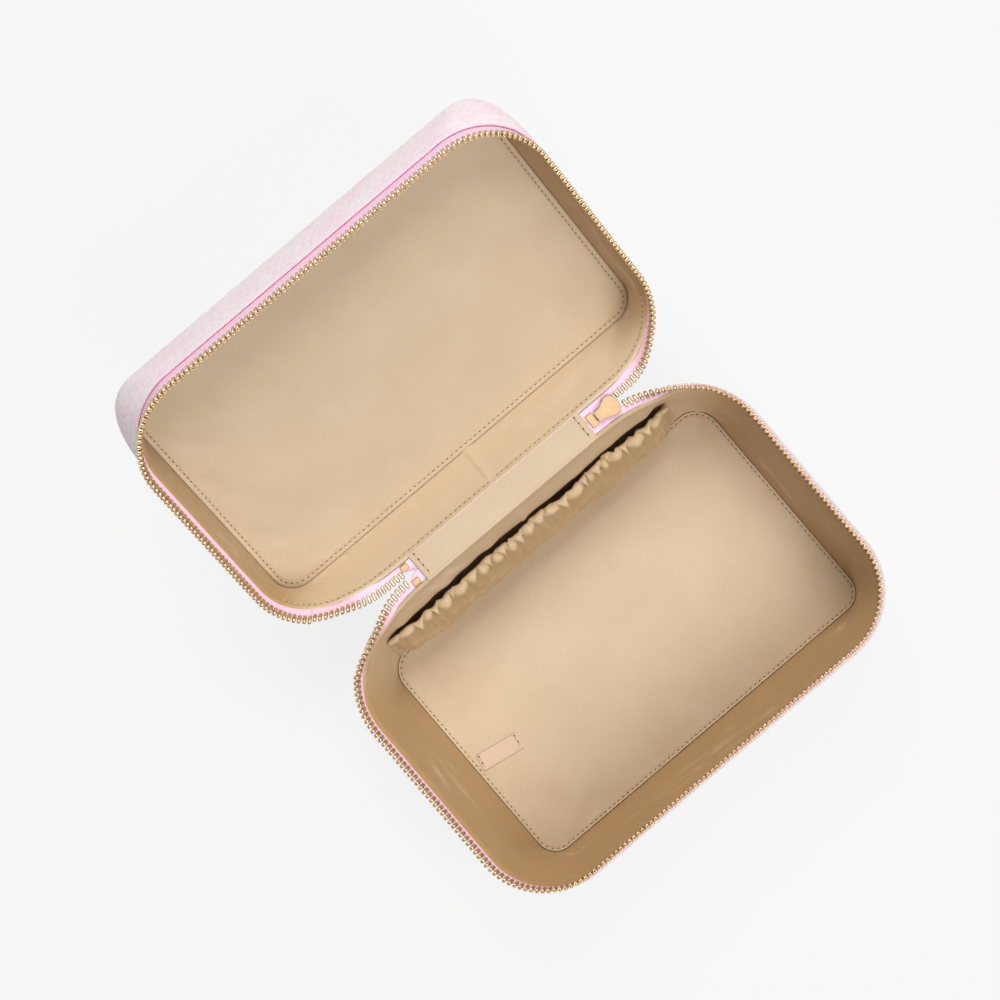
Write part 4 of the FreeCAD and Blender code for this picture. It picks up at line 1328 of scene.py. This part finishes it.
def main_teeth(name, shift):
    counts = ring_counts(0.5)
    low, _ = tape_line(0.0, TAPE_MID, counts)
    high, _ = tape_line(TAPE_TOP, TAPE_MID, counts)
    reach = along_length(high)
    count = int((reach[-1] - 0.6) / PITCH)
    s = 0.3 + (np.arange(count) + shift) * (reach[-1] - 0.6) / count
    place = HALVES[name]
    foot = place(*at_length(low, reach, s).T, 0.0)
    top, ahead, behind = [place(*at_length(high, reach, s + by).T, TAPE_TOP) for by in (0.0, 0.3, -0.3)]
    way = ahead - behind
    points, faces = copies(TOOTH, foot, tooth_axes((top - foot) / TAPE_TOP, way))
    return new_piece(name + "_teeth", points, faces, [TOOTH_GOLD])


dress(main_teeth("base", 0.25), "base", "gold_metal", "base_zip_teeth")
dress(main_teeth("lid", 0.75), "lid", "gold_metal", "lid_zip_teeth")


# %% Path of the tape ends
BEND = {-1: (88.0, 59.0), 1: (97.0, 62.0)}


def corner_rise(side):
    """Lean of the upright tape in the middle of a hinge corner, drawn as on the right."""
    counts = ring_counts(1.2)
    low, _ = tape_line(0.0, TAPE_MID, counts)
    high, _ = tape_line(TAPE_TOP, TAPE_MID, counts)
    pick = 0 if low[0, 0] * side > 0 else -1
    lean = (high[pick] - low[pick]) / TAPE_TOP
    return np.array([side * lean[0], lean[1], 1.0])


CORNER_RISE = {side: corner_rise(side) for side in (-1, 1)}


def end_station(share, side, half):
    """Foot, rise and direction of a tape from its hinge corner to the zip's end, on the base's side."""
    arc_part = 0.62
    a = math.radians(45.0 + 45.0 * min(share / arc_part, 1.0))
    settled = float(ease(share / 0.3))
    flat_foot = on_strip(0.0, 0.5, TAPE_MID)
    centre_x, centre_y, r = RIM_W / 2 - R_BACK, RIM_D / 2 - R_BACK, R_BACK + TAPE_MID
    foot = np.array([centre_x + r * math.cos(a), centre_y + r * math.sin(a), RIM_Z + 0.75 * settled])
    if share > arc_part:
        foot[0] += (STRIP_HALF - 0.6 - centre_x) * (share - arc_part) / (1 - arc_part)
    bend_from, bend_to = BEND[side]
    over = float(ease((bend_from - foot[0]) / (bend_from - bend_to)))
    foot = foot * (1 - over) + np.array([foot[0], flat_foot[1], flat_foot[2]]) * over
    foot[1] -= float(sag(half, side * foot[0]))
    rise = unit(CORNER_RISE[side] * (1 - over) + ACROSS * over)
    way = np.array([-math.sin(a), math.cos(a), 0.0]) if share < arc_part else -ALONG
    mirror = np.array([side, 1.0, 1.0])
    return foot * mirror, rise * mirror, way * mirror, settled


def to_lid_side(points):
    """The lid's side of the open hinge is the base's side, mirrored about the strip's middle."""
    depth = (points - FOLD_BASE) @ ACROSS - BAND / 2
    return points - 2 * depth[..., None] * ACROSS


MIDDLE = BAND / 2
print("right tape end stops at", end_station(1.0, 1, "base")[0].round(1))

# %% Tape ends and their teeth
END_STATIONS = 60
END_LEVELS = np.array([-0.6, 0.4, 1.4, 2.4, 3.3, TAPE_TOP + 0.2])
APEX = {-1: 49.8, 1: 57.0}


def tape_end(side, half):
    loops = []
    for k in range(END_STATIONS):
        foot, rise, way, _ = end_station(k / (END_STATIONS - 1.0), side, half)
        out = unit(np.cross(way, rise)) * TAPE / 2
        closing = float(np.clip((APEX[side] + 7.0 - abs(foot[0])) / 7.0, 0.0, 1.0))
        levels = END_LEVELS + np.maximum(END_LEVELS - 2.0, 0.0) * closing * (MIDDLE - 5.02) / 2.5
        there = [foot + rise * e + out for e in levels]
        loops.append(there + [foot + rise * e - out for e in levels[::-1]])
    return np.array(loops)


def end_teeth(side, half):
    """Teeth of a tape end; they keep the main chain's pitch, half a pitch apart on the lid."""
    limit = SLIDER_X0 + SLIDER_LEN + 1.2 if side > 0 else STOP_X + 4.6
    first = 0.033 if (half == "base") == (side > 0) else 0.007
    feet, rises, ways, last = [], [], [], None
    for share in np.arange(first, 1.0, 0.002):
        foot, rise, way, settled = end_station(share, side, half)
        tip = foot + rise * TAPE_TOP
        if last is None or np.linalg.norm(tip - last) >= PITCH:
            if abs(tip[0]) < limit:
                break
            feet.append(foot - rise * 0.5 * settled)
            rises.append(rise)
            ways.append(way)
            last = tip
    return np.array(feet), tooth_axes(np.array(rises), np.array(ways))


for side, word in ((-1, "left"), (1, "right")):
    for half, mirror in (("base", np.asarray), ("lid", to_lid_side)):
        loops = tape_end(side, half)
        feet, axes = end_teeth(side, half)
        teeth, teeth_faces = copies(TOOTH, feet, axes)
        tape = ribbon_mesh(f"{half}_tape_end_{word}", mirror(loops), TAPE_CLOTH)
        chain = new_piece(f"{half}_chain_end_{word}", mirror(teeth), teeth_faces, [TOOTH_GOLD])
        fold = FOLD_BASE if half == "base" else FOLD_LID
        start, end = [(fold + ALONG * side * x) * MM for x in BEND[side]]
        for piece, slot, node in ((tape, "zip_tape", "_tape_ends"), (chain, "gold_metal", "_end_teeth")):
            tuple(start)
            tuple(end)
            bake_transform(piece)
            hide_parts(half + node)
print("tape ends with", len(feet), "teeth at the right")

# %% [markdown]
# ## Hinge strip
#
# The cloth runs on over the hinge: it turns over a soft ridge at the base's fold, crosses the strip
# and turns again into the lid. One cloth can only bend about one fold here, so it is made in two
# pieces that meet in the crease of the lid's fold. The leather outside is also made in two pieces,
# and they meet in the strip's middle.


# %% Hinge cloth and hinge leather
def hinge_half(name, line, thick, finish, mirror, waves):
    """Cloth swept along the hinge; line gives (w, n) across it, from the wall on to the strip."""
    x = np.linspace(-STRIP_HALF, STRIP_HALF, 141)
    line = smooth_line(line, 0.45)
    way = unit(np.gradient(line, axis=0))
    outer = line + np.stack([-way[:, 1], way[:, 0]], -1) * thick
    loop = np.concatenate([line, outer[::-1]])
    loops = []
    for at in x:
        lift = waves * float(soft_noise(at + 400, 0.0, 17.0, 1.0, 51))
        profile = loop + np.stack([np.zeros(len(loop)), -lift * ease((loop[:, 0] - 1.0) / 3.0)], -1)
        loops.append(on_strip(np.full(len(loop), at), profile[:, 0], profile[:, 1]))
    loops = np.array(loops)
    return ribbon_mesh(name, to_lid_side(loops) if mirror else loops, finish)


wall_w, wall_n = (np.array([0.0, 0.0, -1.0]) @ ACROSS, np.array([0.0, 0.0, -1.0]) @ BELOW)
CLOTH_WALL = [(wall_w * 2.2, wall_n * 2.2 - 0.05), (wall_w * 1.2, wall_n * 1.2 - 0.12)]
BASE_CLOTH = CLOTH_WALL + [(wall_w * 0.5 + 0.05, wall_n * 0.5 - 0.3), (0.25, -0.5)]
BASE_CLOTH += [(0.8, -0.42), (1.2, -0.2)]
BASE_CLOTH += [(1.6, -0.34), (2.1, -0.42), (2.7, -0.25), (4.0, -0.05), (MIDDLE, 0.02), (BAND - 3.0, 0.0)]
BASE_CLOTH += [(BAND - 1.4, -0.1), (BAND - 0.75, 0.02), (BAND - 0.42, 0.4), (BAND - 0.4, 0.9)]
LID_CLOTH = CLOTH_WALL + [(wall_w * 0.5 + 0.05, wall_n * 0.5 - 0.2), (0.0, -0.12)]
LID_CLOTH += [(0.16, 0.2), (0.18, 0.8)]
HIDE_LINE = [(wall_w * 4.6 + 2.4, wall_n * 4.6 + 0.6), (1.5, 2.6), (1.35, 1.9), (2.1, 1.75)]
HIDE_LINE += [(3.2, 2.2), (5.0, 2.45), (MIDDLE, 2.5)]
for mirror, body, fold in ((False, "base", FOLD_BASE), (True, "lid", FOLD_LID)):
    toward = ACROSS if body == "base" else -ACROSS
    cloth_line = LID_CLOTH if mirror else BASE_CLOTH
    cloth = hinge_half(f"hinge_cloth_{body}", cloth_line, 0.4, LIT_PADDED, mirror, 0.18)
    hide = hinge_half(f"hinge_hide_{body}", HIDE_LINE, -1.1, STRAP_HIDE, mirror, 0.0)
    layers = ((cloth, "lining_cloth", "hinge_lining"), (hide, "embossed_leather", "hinge_leather"))
    for piece, slot, node in layers:
        start = (fold - toward * 0.5) * MM
        end = (fold + toward * 1.4) * MM
        tuple(start)
        tuple(end)
        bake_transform(piece)
        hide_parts(node)
        print(piece.name, "bends between", body, "and hinge_strip")

# %% Hinge seams
for side in (-1, 1):
    w = np.linspace(1.2, BAND - 1.2, 30)
    line = on_strip(np.full(30, side * (STRIP_HALF - 2.7)), w, -0.12)
    ups = np.repeat(-BELOW[None, :], 30, 0)
    sewn_line("strip_end_seam_" + ("right" if side > 0 else "left"), "hinge_strip", line, ups)

# %% [markdown]
# ## Metal of the zip's ends
#
# Plates are cut from flat outlines: a filled curve with a small bevel gives a stamped look with
# rounded rims. The outlines are drawn on the hinge strip, along it and across it.


# %% Stamped plates
def plate(name, outline, low, high, bevel):
    """Gold plate between two distances from the middle of the tape."""
    curve = bpy.data.curves.new(name, "CURVE")
    curve.dimensions = "2D"
    curve.fill_mode = "BOTH"
    curve.extrude = ((high - low) / 2 - bevel) * MM
    curve.bevel_depth = bevel * MM
    curve.bevel_resolution = 2
    curve.offset = -bevel * MM
    spline = curve.splines.new("POLY")
    spline.points.add(len(outline) - 1)
    corners = np.zeros((len(outline), 4))
    corners[:, :2] = np.asarray(outline) * MM
    corners[:, 3] = 1.0
    spline.points.foreach_set("co", corners.ravel())
    spline.use_cyclic_u = True
    cutter = bpy.data.objects.new(name + "_outline", curve)
    scene.collection.objects.link(cutter)
    mesh = bpy.data.meshes.new_from_object(cutter.evaluated_get(bpy.context.evaluated_depsgraph_get()))
    bpy.data.objects.remove(cutter)
    co = np.zeros(len(mesh.vertices) * 3)
    mesh.vertices.foreach_get("co", co)
    co = co.reshape(-1, 3) / MM
    placed = on_strip(co[:, 0], co[:, 1], TAPE_MID + (low + high) / 2 + co[:, 2])
    faces = [list(face.vertices) for face in mesh.polygons]
    bpy.data.meshes.remove(mesh)
    piece = new_piece(name, placed, faces, [GOLD], closed=False)
    shell = bmesh.new()
    shell.from_mesh(piece.data)
    bmesh.ops.remove_doubles(shell, verts=shell.verts, dist=0.02 * MM)
    bmesh.ops.recalc_face_normals(shell, faces=shell.faces)
    shell.to_mesh(piece.data)
    shell.free()
    smooth = piece.modifiers.new("edges", "EDGE_SPLIT")
    smooth.split_angle = math.radians(50.0)
    return piece


def mirrored_outline(half, step=0.35):
    """Outline from its upper half, as (along, half width); the lower half is its mirror."""
    line = smooth_line(half, step)
    return np.concatenate([line, (line * np.array([1.0, -1.0]))[::-1]])


def joined(name, pieces):
    """One object from several plates."""
    whole = bmesh.new()
    for piece in pieces:
        whole.from_mesh(piece.data)
    whole.to_mesh(pieces[0].data)
    whole.free()
    for piece in pieces[1:]:
        bpy.data.objects.remove(piece)
    pieces[0].name = name
    return pieces[0]


print("plates are stamped, mirrored and joined")

# %% Slider
SLIDER_AT = np.array([SLIDER_X0, MIDDLE])
SLIDER_HALF = [(0.0, 2.3), (1.2, 2.75), (3.4, 2.95), (5.2, 3.9), (7.4, 4.75), (9.6, 4.7)]
SLIDER_HALF += [(11.3, 3.2), (SLIDER_LEN, 0.6)]
WEDGE_HALF = [(8.6, 0.05), (9.4, 0.4), (10.2, 0.6), (11.0, 0.6), (11.6, 0.4)]
RAIL = np.array([(6.2, -0.25), (9.6, -0.25), (9.6, 0.25), (6.2, 0.25)])
RAIL_OFF = 4.25
slider_line = mirrored_outline(SLIDER_HALF) + SLIDER_AT
plates = [plate("slider_plate_in", slider_line, -2.8, -1.6, 0.35)]
plates.append(plate("slider_plate_out", slider_line, 1.6, 2.7, 0.3))
plates.append(plate("slider_wedge", mirrored_outline(WEDGE_HALF) + SLIDER_AT, -1.8, 1.8, 0.1))
for sign in (-1, 1):
    rail = RAIL + SLIDER_AT + np.array([0.0, sign * RAIL_OFF])
    plates.append(plate("slider_rail", rail, -1.8, -0.75, 0.1))
    plates.append(plate("slider_rail", rail, 0.75, 1.8, 0.1))
dress(joined("slider_body", plates), "slider", "gold_metal", "zip_slider")


# %% Stops
def block_outline(x, w, length, width, r):
    """Small rectangle with round corners."""
    half_x, half_w = length / 2 - r, width / 2 - r
    arcs = []
    for start, sign_x, sign_w in ((0, 1, 1), (90, -1, 1), (180, -1, -1), (270, 1, -1)):
        turn = np.radians(start + np.arange(0, 91, 15))
        centre = np.array([x + sign_x * half_x, w + sign_w * half_w])
        arcs.append(centre + r * np.stack([np.cos(turn), np.sin(turn)], -1))
    return np.concatenate(arcs)


STOP_HALF = 1.4
stop_line = block_outline(STOP_X, MIDDLE, 3.8, 6.6, 0.5)
bottom_stop = plate("bottom_stop", stop_line, -STOP_HALF, STOP_HALF, 0.45)
dress(bottom_stop, "hinge_strip", "gold_metal", "zip_bottom_stop")
tops = []
for w in (3.6, BAND - 3.6):
    block = block_outline(-STOP_X - 1.6, w, 3.8, 2.9, 0.4)
    tops.append(plate("top_stop", block, -STOP_HALF, STOP_HALF, 0.4))
dress(joined("top_stop_pair", tops), "hinge_strip", "gold_metal", "zip_top_stops")

# %% Bridge and pull
for node in ("slider_bridge", "zip_pull"):
    rounding = finish_node(node, GOLD).modifiers.new("rounding", "BEVEL")
    rounding.width = 0.25 * MM
    rounding.segments = 3
    rounding.limit_method = "ANGLE"
print("bridge and pull rounded")

# %% [markdown]
# ## Gathered pocket
#
# The pocket is a strip of lining cloth, sewn in above the floor and drawn together at its mouth by
# an elastic in a rolled hem. The hem breaks into plump rolls between sharp slanting creases. A
# simulated gather would come out different at each change of size, so the rolls are shaped in code:
# uneven lengths, creases that slant alternately, and folds that run down the cloth from each crease.

# %% Pocket sizes and creases
POCKET_HALF = 82.0
PUCKERS = 31
HEM_Y, HEM_Z, HEM_R = 61.0, 49.0, 2.3
POCKET_FOOT = 10.4
shaker = np.random.default_rng(7)
gaps = shaker.uniform(0.5, 1.6, PUCKERS)
HEM_HALF = POCKET_HALF - 0.8
creases = -HEM_HALF + 2 * HEM_HALF * np.concatenate([[0.0], np.cumsum(gaps) / gaps.sum()])
slants = shaker.uniform(0.7, 2.0, PUCKERS + 1) * np.where(np.arange(PUCKERS + 1) % 2, 1, -1)
phases = shaker.uniform(-0.5, 0.5, PUCKERS + 1)
plump = shaker.uniform(0.86, 1.16, PUCKERS)
sway = shaker.uniform(-0.5, 0.5, (PUCKERS, 2))
rolls = np.diff(creases)
print("rolls from", round(float(rolls.min()), 1), "to", round(float(rolls.max()), 1), "mm")


# %% Rolled hem
def roll_share(x, turn):
    """Which roll a place on the hem belongs to and how far along that roll it is."""
    lines = creases[:, None, None] + slants[:, None, None] * np.sin(turn + phases[:, None, None])
    lines[0], lines[-1] = creases[0], creases[-1]
    which = np.clip((x[None] >= lines).sum(0) - 1, 0, PUCKERS - 1)
    start = np.take_along_axis(lines, which[None], 0)[0]
    stop = np.take_along_axis(lines, which[None] + 1, 0)[0]
    return which, np.clip((x - start) / (stop - start), 0.0, 1.0)


def hem_rolls():
    x = np.linspace(-HEM_HALF, HEM_HALF, 820)
    turn = np.arange(30) * 2 * math.pi / 30
    grid_x, grid_turn = np.meshgrid(x, turn, indexing="ij")
    which, share = roll_share(grid_x, grid_turn)
    swell = (4 * share * (1 - share)) ** 0.55
    tuck = 0.14 * np.sin(grid_turn * 3 + which * 1.7) * (1 - swell)
    fine = 0.2 * soft_noise(grid_x + 300, np.sin(grid_turn) * 4 + 20, 1.6, 2.0, 61)
    end = ease((HEM_HALF - np.abs(grid_x)) / 13.0)
    lobe = np.sin(math.pi * share) ** 0.8 * end
    radius = 0.5 + (0.45 + 1.5 * swell * plump[which] + tuck + fine) * (0.3 + 0.7 * end)
    drift_y = 1.0 - (1.6 + 2.0 * sway[which, 0]) * lobe
    drift_y = drift_y + 0.9 * soft_noise(grid_x + 300, 0.0, 19.0, 1.0, 63)
    drift_z = (0.5 + sway[which, 1]) * lobe
    y = HEM_Y + drift_y + radius * 1.08 * np.sin(grid_turn)
    z = HEM_Z + drift_z + radius * np.cos(grid_turn)
    loops = stack(grid_x, y, z)
    # The hem is painted lighter all over, a painted light on its lit rolls.
    return ribbon_mesh("pocket_ruffle", loops, SHADED_LINING, painted_light=0.6)


ruffle = dress(hem_rolls(), "base", "lining_cloth", "pocket_hem", "pocket_elastic")


# %% Pocket cloth
def hinge_wall(x, h):
    """Inside face of the base's lining on the hinge wall."""
    box, turn = lining_box("base", h)
    r = PAD_R_BACK + PAD_GAP + (R_BACK - PAD_R_BACK - PAD_GAP) * turn
    past = np.maximum(np.maximum(x - (box[1] - r), (box[0] + r) - x), 0.0)
    return box[3] - r + np.sqrt(np.maximum(r * r - past * past, 0.0))


POCKET_RIDGES = [(-78, 41, -46, 24), (-64, 44, -26, 31), (-34, 40, -6, 28)]
POCKET_RIDGES += [(-4, 30, 40, 40), (30, 26, 62, 36), (58, 28, 77, 43)]
POCKET_SEAM_Y = 56.1


def pocket_front(x, rise):
    """Front of the pocket cloth: a belly above the floor and folds that fan down from the creases."""
    z = POCKET_FOOT + (HEM_Z - HEM_R + 0.6 - POCKET_FOOT) * rise
    belly = POCKET_SEAM_Y - 24.0 * rise * (1 - rise) * (1 - 0.2 * rise)
    belly = belly + (HEM_Y - 0.6 - POCKET_SEAM_Y) * rise ** 2
    nearest = np.abs(x[..., None] - creases - 1.2 * slants * (1 - rise[..., None])).min(-1)
    folds = (1.0 - np.exp(-(nearest / 1.6) ** 2)) * rise ** 1.6
    long_folds = soft_noise(x + 300, rise * 3.0, 13.0, 2.6, 71) * (0.35 + 0.9 * rise * (1 - rise) * 4)
    wrinkles = 0.6 * long_folds + 0.25 * soft_noise(x + 300, z, 5.0, 6.0, 73)
    front = belly - 1.5 * folds + wrinkles * ease(rise * 5)
    for start_x, start_z, end_x, end_z in POCKET_RIDGES:
        reach = np.array([end_x - start_x, end_z - start_z])
        share = np.clip(((x - start_x) * reach[0] + (z - start_z) * reach[1]) / (reach @ reach), 0.0, 1.0)
        away = np.hypot(x - start_x - share * reach[0], z - start_z - share * reach[1])
        front = front - 1.5 * np.exp(-(away / 1.7) ** 2) * np.sin(math.pi * (0.08 + 0.84 * share))
    close = ease((np.abs(x) - POCKET_HALF + 8.0) / 8.0)
    wall = hinge_wall(x, z - RIM_Z) - 1.2
    return front * (1 - close) + np.minimum(wall, front + 6.0) * close, z


def pocket_sheet():
    x, rise = np.meshgrid(np.linspace(-POCKET_HALF, POCKET_HALF, 420), np.linspace(0, 1, 44))
    y, z = pocket_front(x, rise)
    front = stack(x, y, z)
    back_side = stack(x, y + 0.7, z)
    loops = np.concatenate([front, back_side[::-1]]).transpose(1, 0, 2)
    # The pocket cloth is painted a little lighter, a painted light.
    return ribbon_mesh("pocket_cloth", loops, SHADED_LINING, painted_light=0.3)


pocket = dress(pocket_sheet(), "base", "lining_cloth", "pocket_panel")

# %% [markdown]
# ## Label
#
# A short satin ribbon is sewn to the floor panel. It is left blank. Its ends are turned under and
# held by two small bar tacks.

# %% Blank ribbon label
LABEL_AT = (-76.2, -8.5)
LABEL_TURN = math.radians(-9.5)
LABEL_SIZE = (21.0, 8.0)


def label_place(a, b, lift):
    """Place on the label: along it, across it and above the floor panel."""
    x = LABEL_AT[0] + a * math.cos(LABEL_TURN) - b * math.sin(LABEL_TURN)
    y = LABEL_AT[1] + a * math.sin(LABEL_TURN) + b * math.cos(LABEL_TURN)
    return on_base(x, y, pad_level("base", x, y) + lift)


def ribbon_label():
    a = np.linspace(-LABEL_SIZE[0] / 2, LABEL_SIZE[0] / 2, 64)
    b = np.linspace(-LABEL_SIZE[1] / 2, LABEL_SIZE[1] / 2, 18)
    grid_a, grid_b = np.meshgrid(a, b, indexing="ij")
    bow = 0.16 * (1 - (2 * grid_a / LABEL_SIZE[0]) ** 6)
    bow = bow + 0.1 * soft_noise(grid_a + 50, grid_b + 50, 7.0, 6.0, 81)
    hem = 0.14 * ease((np.abs(grid_a) - LABEL_SIZE[0] / 2 + 2.2) / 0.5)
    top = label_place(grid_a, grid_b, 0.32 + bow + hem)
    low = label_place(grid_a, grid_b, 0.06 + bow * 0.6)
    loops = np.concatenate([top, low[:, ::-1]], 1)
    return ribbon_mesh("label_ribbon", loops, RIBBON)


label = dress(ribbon_label(), "base", "label_satin", "lining_label")
# The ribbon is narrower than a declared side may be, so its true area stands beside the rounded size.
for end in (-1, 1):
    across = np.linspace(-LABEL_SIZE[1] / 2 + 0.8, LABEL_SIZE[1] / 2 - 0.8, 12)
    line = label_place(np.full(12, end * (LABEL_SIZE[0] / 2 - 1.1)), across, 0.62)
    ups = np.repeat([[0.0, 0.0, 1.0]], 12, 0)
    sewn_line("label_tack_" + ("right" if end > 0 else "left"), "base", line, ups)

# %% [markdown]
# ## Carry strap
#
# A bowed strap on top of the lid, sewn and riveted at both flat ends. It is swept along its bow with
# a rounded section, and a seam runs close to each edge.

# %% Strap
STRAP_W, STRAP_T = 18.0, 3.4
STRAP_BOW = [(-75.0, 0.0), (-54.0, 0.0), (-46.0, 1.6), (-34.0, 7.6), (-18.0, 14.4), (0.0, 17.0)]
STRAP_BOW = STRAP_BOW + [(-x, rise) for x, rise in reversed(STRAP_BOW[:-1])]
STRAP_SEAT = LID_EDGE[-1][0] - 0.05


def strap_section():
    """Half width and height of the strap's rounded section, as a loop of points."""
    turn = np.arange(36) * 2 * math.pi / 36
    c, s = np.cos(turn), np.sin(turn)
    wide = STRAP_W / 2 * np.sign(c) * np.abs(c) ** 0.35
    tall = STRAP_T / 2 * np.sign(s) * np.abs(s) ** 0.6
    return wide, tall


def strap_piece():
    line = smooth_line(STRAP_BOW, 1.5)
    wide, tall = strap_section()
    way = unit(np.gradient(line, axis=0))
    loops = []
    for (x, rise), (dx, dz) in zip(line, way):
        end = STRAP_BOW[-1][0] - abs(x)
        narrow = math.sqrt(max(1 - max(1 - end / 7.0, 0.0) ** 2, 0.02))
        across = wide * (0.45 + 0.55 * narrow)
        up_x, up_h = x - dz * tall, rise + STRAP_T / 2 + dx * tall
        loops.append(on_lid(up_x, across, STRAP_SEAT - up_h))
    return ribbon_mesh("strap_band", np.array(loops), STRAP_HIDE)


dress(strap_piece(), "lid", "strap_leather", "handle_strap")
for side in (-1, 1):
    line = smooth_line(STRAP_BOW, 1.5)[3:-3]
    across = side * (STRAP_W / 2 - 2.2)
    top = STRAP_SEAT - line[:, 1] - STRAP_T
    points = on_lid(line[:, 0], across, top + 0.06)
    ups = on_lid(line[:, 0], across, top - 1.0) - points
    sewn_line("strap_seam_" + ("far" if side > 0 else "near"), "lid", points, ups, thread=PINK_THREAD)

# %% Studs
STUD_RINGS = [(0.0, 3.7), (0.25, 4.0), (0.6, 4.0), (0.95, 3.6), (1.25, 2.8), (1.4, 1.7), (1.45, 0.6)]
stud_form = tube_form([(lift, r, r, 0.0) for lift, r in STUD_RINGS], 40)
studs = []
for x in (-65.0, 65.0):
    seat = on_lid(np.array([x]), 0.0, STRAP_SEAT - STRAP_T)
    rise = on_lid(np.array([x]), 0.0, STRAP_SEAT - 1.0 - STRAP_T) - seat
    side = ALONG[None]
    points, faces = copies(stud_form, seat, np.stack([rise, side, np.cross(rise, side)], 1))
    studs.append(new_piece("stud", points, faces, [GOLD]))
dress(joined("strap_studs", studs), "lid", "gold_metal", "handle_studs")

# %% [markdown]
# ## Measure and finish
#
# The box of the dressed case is printed beside the box of the frame. Cloth may stand a little proud,
# and nothing else may grow.

# %% Size and finish
visual_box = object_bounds()
size = {"cad": [list(corner) for corner in cad_box], "visual": [list(corner) for corner in visual_box]}
print("cad box", size["cad"], "visual box", size["visual"])
